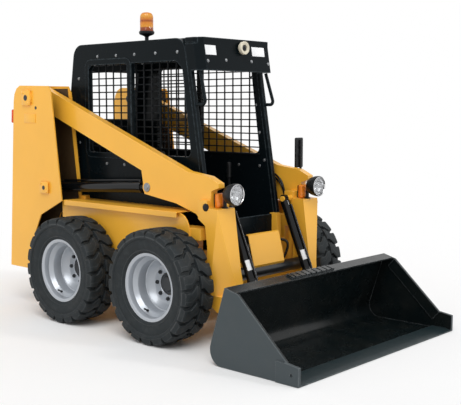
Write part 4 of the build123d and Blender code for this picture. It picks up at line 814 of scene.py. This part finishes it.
def piping(name, mesh, centre, first, second):
    """Welt sewn round a pad, where a plane through one point meets its side."""
    tree = BVHTree.FromPolygons([v.co for v in mesh.vertices], [p.vertices for p in mesh.polygons])
    ways = [first * cos(a) + second * sin(a) for a in
            (TURN * step / PIPING_STEPS for step in range(PIPING_STEPS))]
    bm = bmesh.new()
    add_tube(bm, [tree.ray_cast(centre, way)[0] for way in ways], PIPING_RADIUS, 8, False, True)
    piece(name, bm, VINYL, "chassis")


def pad(node, facing, channels):
    """One seat pad: blown up as cloth, then sewn and piped."""
    low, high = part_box(node)
    mesh = pad_block(low, high)
    swell(mesh)
    sew(mesh, low, high, facing, channels)
    centre = (low + high) / 2
    depth = abs((high - low).dot(facing)) / 2
    first = Vector((0, 1, 0))
    piping(f"{node}_piping", mesh, centre + facing * (depth - PIPING_DROP), first, facing.cross(first))
    mesh.shade_smooth()
    made = mesh_piece(f"{node}_pad", mesh, VINYL, "chassis", [node])
    finer = made.modifiers.new("finer", "SUBSURF")
    finer.levels = 1
    finer.render_levels = 1


def seat():
    """Cushion and backrest."""
    pad("seat_cushion", Vector((0, 0, 1)), (-0.46, 0.0, 0.46))
    pad("seat_back", Vector((1, 0, 0)), (-0.42, 0.42))


LEVER_BOOT = mm(
    (0, 115), (30, 115), (34, 122), (24, 130), (29, 138), (19, 146), (23, 154), (13, 165), (0, 166))
LEVER_GRIP = mm(
    (0, 0), (14, 0), (19, 8), (16.5, 30), (18.5, 55), (16.5, 80), (19.5, 106), (15, 118), (0, 120))


def once(side, node):
    """The node that a left piece stands for; its right twin stands for none."""
    return [node] if side > 0 else ()


def levers():
    """Two bent drive levers with grips and boots."""
    low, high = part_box("control_levers")
    x = (low.x + high.x) / 2
    grip = high.z - 0.12
    for side, label in SIDES:
        y = side * (high.y - 0.035)
        bm = bmesh.new()
        add_box(bm, (x - 0.068, y - 0.034, low.z), (x + 0.068, y + 0.034, low.z + 0.12), 0.012, 3)
        add_lathe(bm, LEVER_BOOT, move((x, y, low.z)), 28)
        add_lathe(bm, LEVER_GRIP, move((x, y, grip)), 28)
        piece(f"lever_grip_{label}", bm, PLASTIC, "chassis", once(side, "control_levers"))
        bm = bmesh.new()
        add_tube(bm, [(x, y, low.z + 0.15), (x, y, low.z + 0.22), (x + 0.012, y, low.z + 0.3),
                      (x, y, low.z + 0.38), (x, y, grip + 0.02)], 0.0105)
        piece(f"lever_rod_{label}", bm, FRAME_BLACK, "chassis")


# Lamps

LAMP_RADIUS = 0.074
LAMP_BOWL = mm(
    (0, -100), (16, -99.5), (34, -95), (52, -82), (64, -61), (70.5, -37), (73.2, -20), (74, -6), (72.5, 0),
    (67.2, 0), (66.2, -8), (64.5, -20), (57, -48), (32, -68), (0, -76))
LAMP_REFLECTOR = mm(
    (63.2, -10), (55, -40), (31, -59), (11, -66), (11, -62), (31, -55), (53, -38), (60.7, -10))
LAMP_BEZEL = mm((67.6, -4), (69.2, 1.5), (67.2, 3), (65, -2))
LAMP_BULB = mm((0, -64), (9, -64), (9, -45), (14, -38), (14, -30), (0, -22))
LAMP_FOOT = mm((0, 0), (21, 0), (21, 6), (15, 10), (0, 10))
LAMP_FOOT_BACK = 0.107
LAMP_GLASS = 0.066
LAMP_DOME = 0.008
LAMP_FLUTES = 9
LAMP_FLUTE_PITCH = 0.0135


def lamp_glass(bm, space):
    """Domed lamp glass with upright flutes; local Z is forward."""
    dome = [(LAMP_GLASS * sin(t), LAMP_DOME * cos(t) - 0.006) for t in
            (pi / 2 * step / 12 for step in range(13))]
    inside = [(r * 0.96, h - 0.005) for r, h in reversed(dome[:-1])]
    add_lathe(bm, dome + [(LAMP_GLASS, -0.01)] + inside, space)
    for step in range(LAMP_FLUTES):
        across = (step - LAMP_FLUTES // 2) * LAMP_FLUTE_PITCH
        reach = sqrt((LAMP_GLASS - 0.005) ** 2 - across ** 2)
        lift = 0.0005 - 0.0065 * (across / LAMP_GLASS) ** 2
        low = (-reach, across - 0.0018, lift - 0.0035)
        add_box(bm, low, (reach, across + 0.0018, lift + 0.0002), 0.001, 1, space)


def head_lamps():
    """Round head lamps: bowl, bezel, reflector, bulb and fluted glass on a bent foot."""
    low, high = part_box("head_lamps")
    z = high.z - LAMP_RADIUS
    foot = high.x - LAMP_FOOT_BACK
    for side, label in SIDES:
        y = side * (high.y - LAMP_RADIUS)
        space = move((high.x, y, z)) @ TO_X
        stalk = [(foot, y, low.z + 0.004), (foot, y, z - 0.03), (foot, y, z - 0.004), (foot + 0.03, y, z)]
        bm = bmesh.new()
        add_lathe(bm, LAMP_BOWL, space)
        add_lathe(bm, LAMP_FOOT, move((foot, y, low.z)), 28)
        add_tube(bm, stalk, 0.012)
        piece(f"head_lamp_bowl_{label}", bm, PLASTIC, "boom", once(side, "head_lamps"))
        bm = bmesh.new()
        add_lathe(bm, LAMP_REFLECTOR, space, loop=True)
        add_lathe(bm, LAMP_BEZEL, space, loop=True)
        piece(f"head_lamp_reflector_{label}", bm, CHROME, "boom")
        bm = bmesh.new()
        lamp_glass(bm, space)
        piece(f"head_lamp_glass_{label}", bm, CLEAR, "boom")
        bm = bmesh.new()
        add_lathe(bm, LAMP_BULB, space, 24)
        piece(f"head_lamp_bulb_{label}", bm, LABEL, "boom")


BLINKER_WIDTH = 0.092
BLINKER_BACK = 0.007
BLINKER_RIBS = 7


def blinkers():
    """Amber turn signals: ribbed lens on a thin black back."""
    low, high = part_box("blinkers")
    face = low.x + BLINKER_BACK
    for side, label in SIDES:
        outer = side * high.y
        y_low, y_high = sorted((outer, outer - side * BLINKER_WIDTH))
        bm = bmesh.new()
        add_box(bm, (low.x, y_low + 0.004, low.z + 0.004), (face, y_high - 0.004, high.z - 0.004), 0.002)
        piece(f"blinker_back_{label}", bm, PLASTIC, "boom", once(side, "blinkers"))
        bm = bmesh.new()
        add_box(bm, (face - 0.001, y_low, low.z), (high.x, y_high, high.z), 0.012, 4)
        for step in range(BLINKER_RIBS):
            z = low.z + 0.016 + step * 0.01
            rib = (high.x - 0.004, y_low + 0.014, z)
            add_box(bm, rib, (high.x + 0.0012, y_high - 0.014, z + 0.005), 0.0012, 1)
        piece(f"blinker_lens_{label}", bm, AMBER, "boom")


BEACON_STEM = 0.075
BEACON_FOOT = mm((0, 0), (26, 0), (26, 4), (15, 9))
BEACON_CUP = mm((15, -10), (22, -3), (50, 8), (57, 13), (60, 24))
BEACON_RIM = mm((58.5, -1), (55, 0), (0, 0))
BEACON_BULB = mm((0, 0), (44, 0), (44, 14), (20, 16), (14, 60), (17, 75), (10, 92), (0, 94))
BEACON_TEETH = 8
BEACON_FLUTES = 24
BEACON_DOME = [
    # radius, share of the height
    (0, 0.0), (0.053, 0.0), (0.053, 0.055), (0.05, 0.09), (0.05, 0.7), (0.049, 0.79), (0.0455, 0.88),
    (0.037, 0.955), (0.02, 0.992), (0, 1.0),
]


def beacon():
    """Beacon: stem, flared base and a fluted amber dome over its bulb and toothed ring."""
    low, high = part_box("beacon_base")
    middle = (low + high) / 2
    axis = move((middle.x, 0, 0))
    stages = ((low.z, BEACON_FOOT), (low.z + BEACON_STEM, BEACON_CUP), (high.z, BEACON_RIM))
    bm = bmesh.new()
    add_lathe(bm, [(r, start + h) for start, profile in stages for r, h in profile], axis)
    piece("beacon_base_turned", bm, PLASTIC, "chassis", ["beacon_base"])
    glass_low, glass_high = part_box("beacon_lens")
    tall = glass_high.z - glass_low.z
    bm = bmesh.new()
    add_lathe(bm, [(r, glass_low.z + share * tall) for r, share in BEACON_DOME], axis, 3 * BEACON_FLUTES)
    for vert in bm.verts:
        share = (vert.co.z - glass_low.z) / tall
        if 0.08 < share < 0.85:
            angle = atan2(vert.co.y, vert.co.x - middle.x)
            flute = 1 + 0.022 * cos(angle * BEACON_FLUTES)
            vert.co.x = middle.x + (vert.co.x - middle.x) * flute
            vert.co.y *= flute
    piece("beacon_dome", bm, BEACON_AMBER, "chassis", ["beacon_lens"], 50.0)
    bm = bmesh.new()
    inner = move((middle.x, 0, glass_low.z + 0.001))
    add_lathe(bm, BEACON_BULB, inner, 32)
    for step in range(BEACON_TEETH):
        tooth = inner @ Matrix.Rotation(TURN * step / BEACON_TEETH, 4, "Z")
        add_box(bm, (0.036, -0.007, 0.01), (0.044, 0.007, 0.03), 0.002, 1, tooth)
    piece("beacon_bulb", bm, DARK_NUT, "chassis")


WORK_RING = mm(
    (0, 0), (36, 0), (44, 6), (46, 18), (46, 30), (43, 34), (34, 34), (24, 28), (21, 20), (0, 18))
WORK_LENS = mm((0, 17), (19, 20), (20, 25), (12, 30), (0, 31.5))


def work_lamp():
    """Small round work lamp: pale ring, dark bowl and lens."""
    low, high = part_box("work_lamp")
    middle = (low + high) / 2
    space = move((low.x, middle.y, middle.z)) @ TO_X
    bm = bmesh.new()
    add_lathe(bm, WORK_RING, space, 56)
    piece("work_lamp_ring", bm, CREAM, "chassis", ["work_lamp"])
    bm = bmesh.new()
    add_lathe(bm, WORK_LENS, space, 40)
    piece("work_lamp_lens", bm, CYLINDER_BLACK, "chassis")


TAIL_LAMP_WIDTH = 0.06
TAIL_LAMP_WRAP = 0.036
TAIL_LAMP_LEAN = 3.8
TAIL_LAMP_RIBS = 8


def tail_lamps():
    """Red tail lamps with ribbed lenses that wrap a little round the towers' backs."""
    low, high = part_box("tail_lamps")
    for side, label in SIDES:
        y = side * (high.y - TAIL_LAMP_WIDTH / 2)
        lean = move(((low.x + high.x) / 2, y, (low.z + high.z) / 2))
        lean = lean @ Matrix.Rotation(radians(TAIL_LAMP_LEAN), 4, "Y")
        bm = bmesh.new()
        add_box(bm, (0.002, -0.03, -0.055), (0.02, 0.03, 0.055), 0.004, 2, lean)
        piece(f"tail_lamp_back_{label}", bm, PLASTIC, "chassis", once(side, "tail_lamps"))
        bm = bmesh.new()
        y_low, y_high = sorted((-side * 0.028, side * (0.028 + TAIL_LAMP_WRAP)))
        add_box(bm, (-0.02, y_low, -0.053), (0.003, y_high, 0.053), 0.008, 3, lean)
        for step in range(TAIL_LAMP_RIBS):
            z = -0.042 + step * 0.0115
            add_box(bm, (-0.0212, y_low + 0.008, z), (-0.017, y_high - 0.008, z + 0.006), 0.001, 1, lean)
        piece(f"tail_lamp_lens_{label}", bm, RED, "chassis")


def mirror():
    """Rear-view mirror: rounded housing, glass, post and clamp."""
    low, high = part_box("mirror")
    back = low.x
    post_x = high.x - 0.009
    post_y = high.y - 0.044
    arm_z = low.z + 0.018
    bm = bmesh.new()
    add_box(bm, (back, high.y - 0.088, high.z - 0.224), (back + 0.02, high.y, high.z), 0.009, 3)
    add_tube(bm, [(post_x, post_y, low.z), (post_x, post_y, high.z - 0.015)], 0.009, 16, False)
    add_tube(bm, [(post_x, low.y, arm_z), (post_x, post_y, arm_z)], 0.0075, 14, False)
    for z in (high.z - 0.075, high.z - 0.15):
        add_box(bm, (back + 0.014, post_y - 0.014, z), (high.x + 0.002, post_y + 0.014, z + 0.03), 0.004)
    piece("mirror_housing", bm, PLASTIC, "boom", ["mirror"])
    bm = bmesh.new()
    glass = (back - 0.0012, high.y - 0.081, high.z - 0.217)
    add_box(bm, glass, (back + 0.004, high.y - 0.007, high.z - 0.007), 0.0012, 1)
    piece("mirror_glass", bm, MIRROR, "boom")


# Trim

HEADER_PLATES = [
    # y, z, width, height
    (-0.2805, 1.958, 0.105, 0.066), (0.217, 1.966, 0.136, 0.066),
]
LABEL_ALONG = 0.432
LABEL_HALF = 0.036
LABEL_SWEEP = 62
LABEL_STEPS = 12


def header_plates():
    """Two blank white plates on the leaning header."""
    bm = bmesh.new()
    for y, z, width, tall in HEADER_PLATES:
        space = move(at(header_x(z), y, z)) @ Matrix.Rotation(-atan(HEADER_SLOPE), 4, "Y")
        add_box(bm, (-0.002, -width / 2, -tall / 2), (0.0024, width / 2, tall / 2), 0.0008, 1, space)
    piece("header_plates", bm, LABEL, "chassis")


def cylinder_labels():
    """Blank white labels bent round the fronts of the tilt cylinders."""
    axis = (TILT_EYE - TILT_BASE).normalized()
    left = Vector((0, 1, 0))
    forward = axis.cross(left)
    if forward.x < 0:
        forward = -forward
    inner = TILT_BARREL_RADIUS - 0.0005
    outer = TILT_BARREL_RADIUS + 0.0006
    near = LABEL_ALONG - LABEL_HALF
    far = LABEL_ALONG + LABEL_HALF
    for side, label in SIDES:
        base = at(*TILT_BASE) + left * (side * TILT_Y)
        rings = []
        bm = bmesh.new()
        for step in range(LABEL_STEPS + 1):
            angle = radians(LABEL_SWEEP * (2 * step / LABEL_STEPS - 1))
            way = forward * cos(angle) + left * sin(angle)
            corners = ((near, inner), (far, inner), (far, outer), (near, outer))
            rings.append([bm.verts.new(base + axis * reach + way * radius) for reach, radius in corners])
        join_rings(bm, rings)
        bm.faces.new(rings[0])
        bm.faces.new(rings[-1])
        piece(f"tilt_label_{label}", bm, LABEL, f"tilt_barrel_{label}")


PIN_WALL = TOWER_BOSS + 0.006
PIN_KEEPERS = [
    # x, z, half width, half height, pin radius
    (*BOOM_PIVOT, 0.055, 0.055, 0.022),
    (*LIFT_BASE, 0.052, 0.043, 0.016),
]
KEEPER_BOLT = 0.7
TOWER_PLUG = mm((0, 1.5), (12, 1.5), (14, -2), (0, -2))


def tower_trim():
    """Pin keepers with dark pin ends, a plug and a blank raised plate on each tower."""
    for side, label in SIDES:
        bm = bmesh.new()
        for x, z, wide, tall, _ in PIN_KEEPERS:
            space = side_space(x, TOWER_BOSS, z, side)
            add_box(bm, (-wide, -tall, -0.003), (wide, tall, 0.006), 0.0025, 2, space)
        space = side_space(-0.61, TOWER_WALL, 1.486, side)
        add_box(bm, (-0.072, -0.034, -0.002), (0.072, 0.034, 0.005), 0.0015, 2, space)
        piece(f"tower_keepers_{label}", bm, YELLOW, "chassis")
        bm = bmesh.new()
        for x, z, _, _, radius in PIN_KEEPERS:
            end = [(0, 0.0015), (radius * 0.55, 0.0015), (radius * 0.62, 0.003), (radius * 0.94, 0.003),
                   (radius, 0.002), (radius, -0.002), (0, -0.002)]
            add_lathe(bm, end, side_space(x, PIN_WALL, z, side), 36)
        add_lathe(bm, TOWER_PLUG, side_space(-0.533, TOWER_WALL, 1.567, side), 28)
        piece(f"tower_pin_ends_{label}", bm, DARK_NUT, "chassis")
        places = [at(x - way * KEEPER_BOLT * wide, side * PIN_WALL, z + way * KEEPER_BOLT * tall)
                  for x, z, wide, tall, _ in PIN_KEEPERS for way in (1, -1)]
        bolts(f"tower_keeper_bolts_{label}", places, (0, side, 0), YELLOW)


BOOM_CAPS = [
    # name, place, wall, profile, segments, material, slot
    ("knee_plugs", KNEE_PLUG, LEG_WALL, mm((0, 4), (20, 4), (26, 1), (27, -4), (0, -4)), 40,
     PLASTIC, "black_plastic"),
    ("lift_eye_caps", LIFT_EYE, ARM_WALL,
     mm((0, 10), (15, 10), (17, 6), (30, 6), (32, 3), (32, -3), (0, -3)), 36, ZINC, "steel"),
]
ARM_PIPE = [(0.93, 0.437, 1.1), (1.03, 0.434, 1.06), (1.09, 0.42, 0.97), (1.15, 0.355, 0.905)]
APRON_PIPE = [(1.225, 0.12, 0.62), (1.265, 0.19, 0.65), (1.3, 0.232, 0.58), (1.25, 0.18, 0.46)]
TOWER_PIPE = [
    (-0.52, 0.57, 1.45), (-0.5, 0.566, 1.3), (-0.455, 0.556, 1.15), (-0.43, 0.556, 1.0),
    (-0.52, 0.57, 0.82), (-0.64, 0.57, 0.7),
]


def add_pipes(bm, route, radius, back=0.0, down=0.0):
    """The same formed pipe on both sides, moved back or down from its route."""
    for side, _ in SIDES:
        add_tube(bm, [at(x - back, side * y, z - down) for x, y, z in route], radius)


def arm_trim():
    """Plugs and caps on the boom, and formed hydraulic pipes along the arms and over the apron."""
    for name, (x, z), wall, profile, segments, material, slot in BOOM_CAPS:
        bm = bmesh.new()
        for side, _ in SIDES:
            add_lathe(bm, profile, side_space(x, wall, z, side), segments)
        piece(name, bm, material, "boom")
    bm = bmesh.new()
    add_pipes(bm, ARM_PIPE, 0.0075)
    add_pipes(bm, ARM_PIPE, 0.0075, down=0.026)
    add_pipes(bm, APRON_PIPE, 0.009)
    piece("boom_pipes", bm, CYLINDER_BLACK, "boom")


def tower_pipes():
    """Formed hydraulic pipes standing between the towers' plates."""
    bm = bmesh.new()
    add_pipes(bm, TOWER_PIPE, 0.01)
    add_pipes(bm, TOWER_PIPE, 0.01, back=0.034)
    piece("tower_pipes", bm, HOSE, "chassis")


def fender_blocks():
    """Stop blocks on the fenders under the lift cylinders."""
    bm = bmesh.new()
    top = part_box("fenders")[1].z
    for side, _ in SIDES:
        y_low, y_high = sorted((side * 0.41, side * 0.455))
        add_box(bm, at(-0.222, y_low, top - 0.001), at(-0.152, y_high, top + 0.028), 0.004)
    piece("fender_blocks", bm, YELLOW, "chassis")


def window_frames():
    """Bolted frame round each side window's rear pane."""
    for side, label in SIDES:
        bm = bmesh.new()
        wall = side_space(0, CAB_WALL, 0, side)
        add_ring_plate(bm, (-0.222, 1.192), (0.301, 1.93), 0.042, 0.005, 0.06, wall)
        piece(f"window_frame_{label}", bm, CAB_BLACK, "chassis")


# Places of bolts: (x, z) on the cab's sides and inside its doorway, (y, z) on the header
CAB_BOLTS = [
    (-0.075, 1.95), (0.138, 1.95), (0.339, 1.95), (0.56, 1.95), (0.78, 1.95), (0.019, 1.15), (0.218, 1.15),
    (-0.3, 1.3), (-0.3, 1.55), (-0.3, 1.79), (0.52, 1.13), (0.78, 1.13),
]
JAMB_BOLTS = [(0.83, 1.793), (0.873, 1.587), (0.91, 1.385), (0.957, 1.18), (0.911, 1.136), (0.705, 1.138)]
HEADER_BOLTS = [(-0.318, 1.884), (-0.134, 1.895), (0.134, 1.895), (0.318, 1.884)]


def cab_bolts():
    """Bolts that hold the cab's window frames and panels."""
    for side, label in SIDES:
        places = [at(x, side * CAB_WALL, z) for x, z in CAB_BOLTS]
        bolts(f"cab_side_bolts_{label}", places, (0, side, 0))
        places = [at(x, side * CAB_JAMB, z) for x, z in JAMB_BOLTS]
        bolts(f"cab_jamb_bolts_{label}", places, (0, -side, 0))
    bolts("header_bolts", [at(header_x(z), y, z) for y, z in HEADER_BOLTS], (1, 0, HEADER_SLOPE))


CAD_LOOKS = [
    # nodes, material, edge rounding
    ("main_frame fenders rear_door", YELLOW, 0.0028),
    ("tower_left tower_right", TOWER_YELLOW, 0.003),
    ("boom_arm_left boom_arm_right", YELLOW, 0.004),
    ("boom_cross", CROSS_YELLOW, 0.002),
    ("rear_bumper quick_coupler", FRAME_BLACK, 0.003),
    ("seat_base", FRAME_BLACK, 0.006),
    ("engine_hood cab_floor", CAB_BLACK, 0.004),
    ("cab_side_left cab_side_right cab_rear", CAB_BLACK, 0.006),
    ("cab_roof cab_front", CAB_BLACK, 0.008),
    ("grab_handles", CAB_BLACK, 0.001),
    ("side_mesh_left side_mesh_right", MESH_BLACK, 0.0018),
    ("bucket", BUCKET_GREY, 0.003),
    ("cutting_edge", EDGE_STEEL, 0.0015),
    ("lift_barrel_left lift_barrel_right tilt_barrel_left tilt_barrel_right", CYLINDER_BLACK, 0.0015),
    ("lift_rod_left lift_rod_right tilt_rod_left tilt_rod_right", STEEL, 0.0015),
    ("chassis_pins", DARK_NUT, 0.0015),
    ("engine_block", IRON, 0.01),
]


def cad_finishes():
    """Finish and edge rounding of every CAD node that stays."""
    for names, material, rounding in CAD_LOOKS:
        for name in names.split():
            dress(name, material, rounding)


# Stage

AMBIENT = 0.55
SUNS = [
    # name, strength, softness in degrees, way it shines
    ("key", 1.6, 40.0, (-0.42, 0.6, -0.95)),
    ("front", 0.5, 8.0, (-0.93, -0.37, -0.55)),
]
FLOOR_SIZE = 60.0
FLOOR_TINTS = [(0.3, (0.955, 0.955, 0.958)), (0.7, (0.97, 0.97, 0.97))]
FADE_START = 2.2
FADE_END = 5.2


def surround():
    """World: even soft light, and plain white to the eye and in reflections."""
    world = bpy.data.worlds.new("studio")
    bpy.context.scene.world = world
    world.use_nodes = True
    tree = world.node_tree
    ambient = tree.nodes["Background"]
    ambient.inputs["Color"].default_value = (1, 1, 1, 1)
    ambient.inputs["Strength"].default_value = AMBIENT
    white = tree.nodes.new("ShaderNodeBackground")
    white.inputs["Color"].default_value = (1, 1, 1, 1)
    path = tree.nodes.new("ShaderNodeLightPath")
    seen = path.outputs["Is Camera Ray"]
    for ray in ("Is Glossy Ray", "Is Transmission Ray"):
        either = tree.nodes.new("ShaderNodeMath")
        either.operation = "MAXIMUM"
        tree.links.new(seen, either.inputs[0])
        tree.links.new(path.outputs[ray], either.inputs[1])
        seen = either.outputs[0]
    mix = tree.nodes.new("ShaderNodeMixShader")
    tree.links.new(seen, mix.inputs["Fac"])
    tree.links.new(ambient.outputs[0], mix.inputs[1])
    tree.links.new(white.outputs[0], mix.inputs[2])
    tree.links.new(mix.outputs[0], tree.nodes["World Output"].inputs["Surface"])


def floor_finish():
    """Pale floor that takes the shadow and fades to the white surround."""
    finish = Finish("floor_white", Roughness=0.9)
    finish.colour(finish.ramp(finish.noise(0.8), FLOOR_TINTS))
    away = finish.node("ShaderNodeVectorMath", operation="LENGTH")
    finish.link(finish.coords, away.inputs[0])
    white = finish.node("ShaderNodeEmission")
    mix = finish.node("ShaderNodeMixShader")
    finish.link(finish.spread(away.outputs["Value"], 0.0, 1.0, FADE_START, FADE_END), mix.inputs["Fac"])
    finish.link(finish.shader.outputs[0], mix.inputs[1])
    finish.link(white.outputs[0], mix.inputs[2])
    finish.link(mix.outputs[0], finish.tree.nodes["Material Output"].inputs["Surface"])
    return finish.material


def sun(name, strength, softness, way):
    """A distant lamp that shines one way."""
    light = bpy.data.lights.new(name, "SUN")
    light.energy = strength
    light.angle = radians(softness)
    aim(put(name, light), way)


def studio():
    """Pale floor, a soft key light, a small front light and the surround."""
    surround()
    bm = bmesh.new()
    bmesh.ops.create_grid(bm, x_segments=1, y_segments=1, size=FLOOR_SIZE)
    mesh = to_mesh("floor", bm)
    mesh.materials.append(floor_finish())
    floor = put("floor", mesh)
    for name, strength, softness, way in SUNS:
        sun(name, strength, softness, way)


def camera():
    """Camera at the photograph's place."""
    data = bpy.data.cameras.new("camera")
    data.lens = CAMERA_LENS
    data.sensor_width = CAMERA_SENSOR
    made = put("camera", data)
    made.location = at(*CAMERA_PLACE)
    aim(made, CAMERA_FORWARD)
    bpy.context.scene.camera = made


camera()
studio()
cad_finishes()
TEMPLATE = lug_template()
for wheel, outward in WHEELS:
    tyre(wheel, outward, TEMPLATE)
    rim(wheel, outward)
seat()
levers()
head_lamps()
blinkers()
beacon()
work_lamp()
tail_lamps()
mirror()
header_plates()
cylinder_labels()
tower_trim()
arm_trim()
tower_pipes()
fender_blocks()
window_frames()
cab_bolts()

bpy.context.scene.view_settings.view_transform = "Standard"
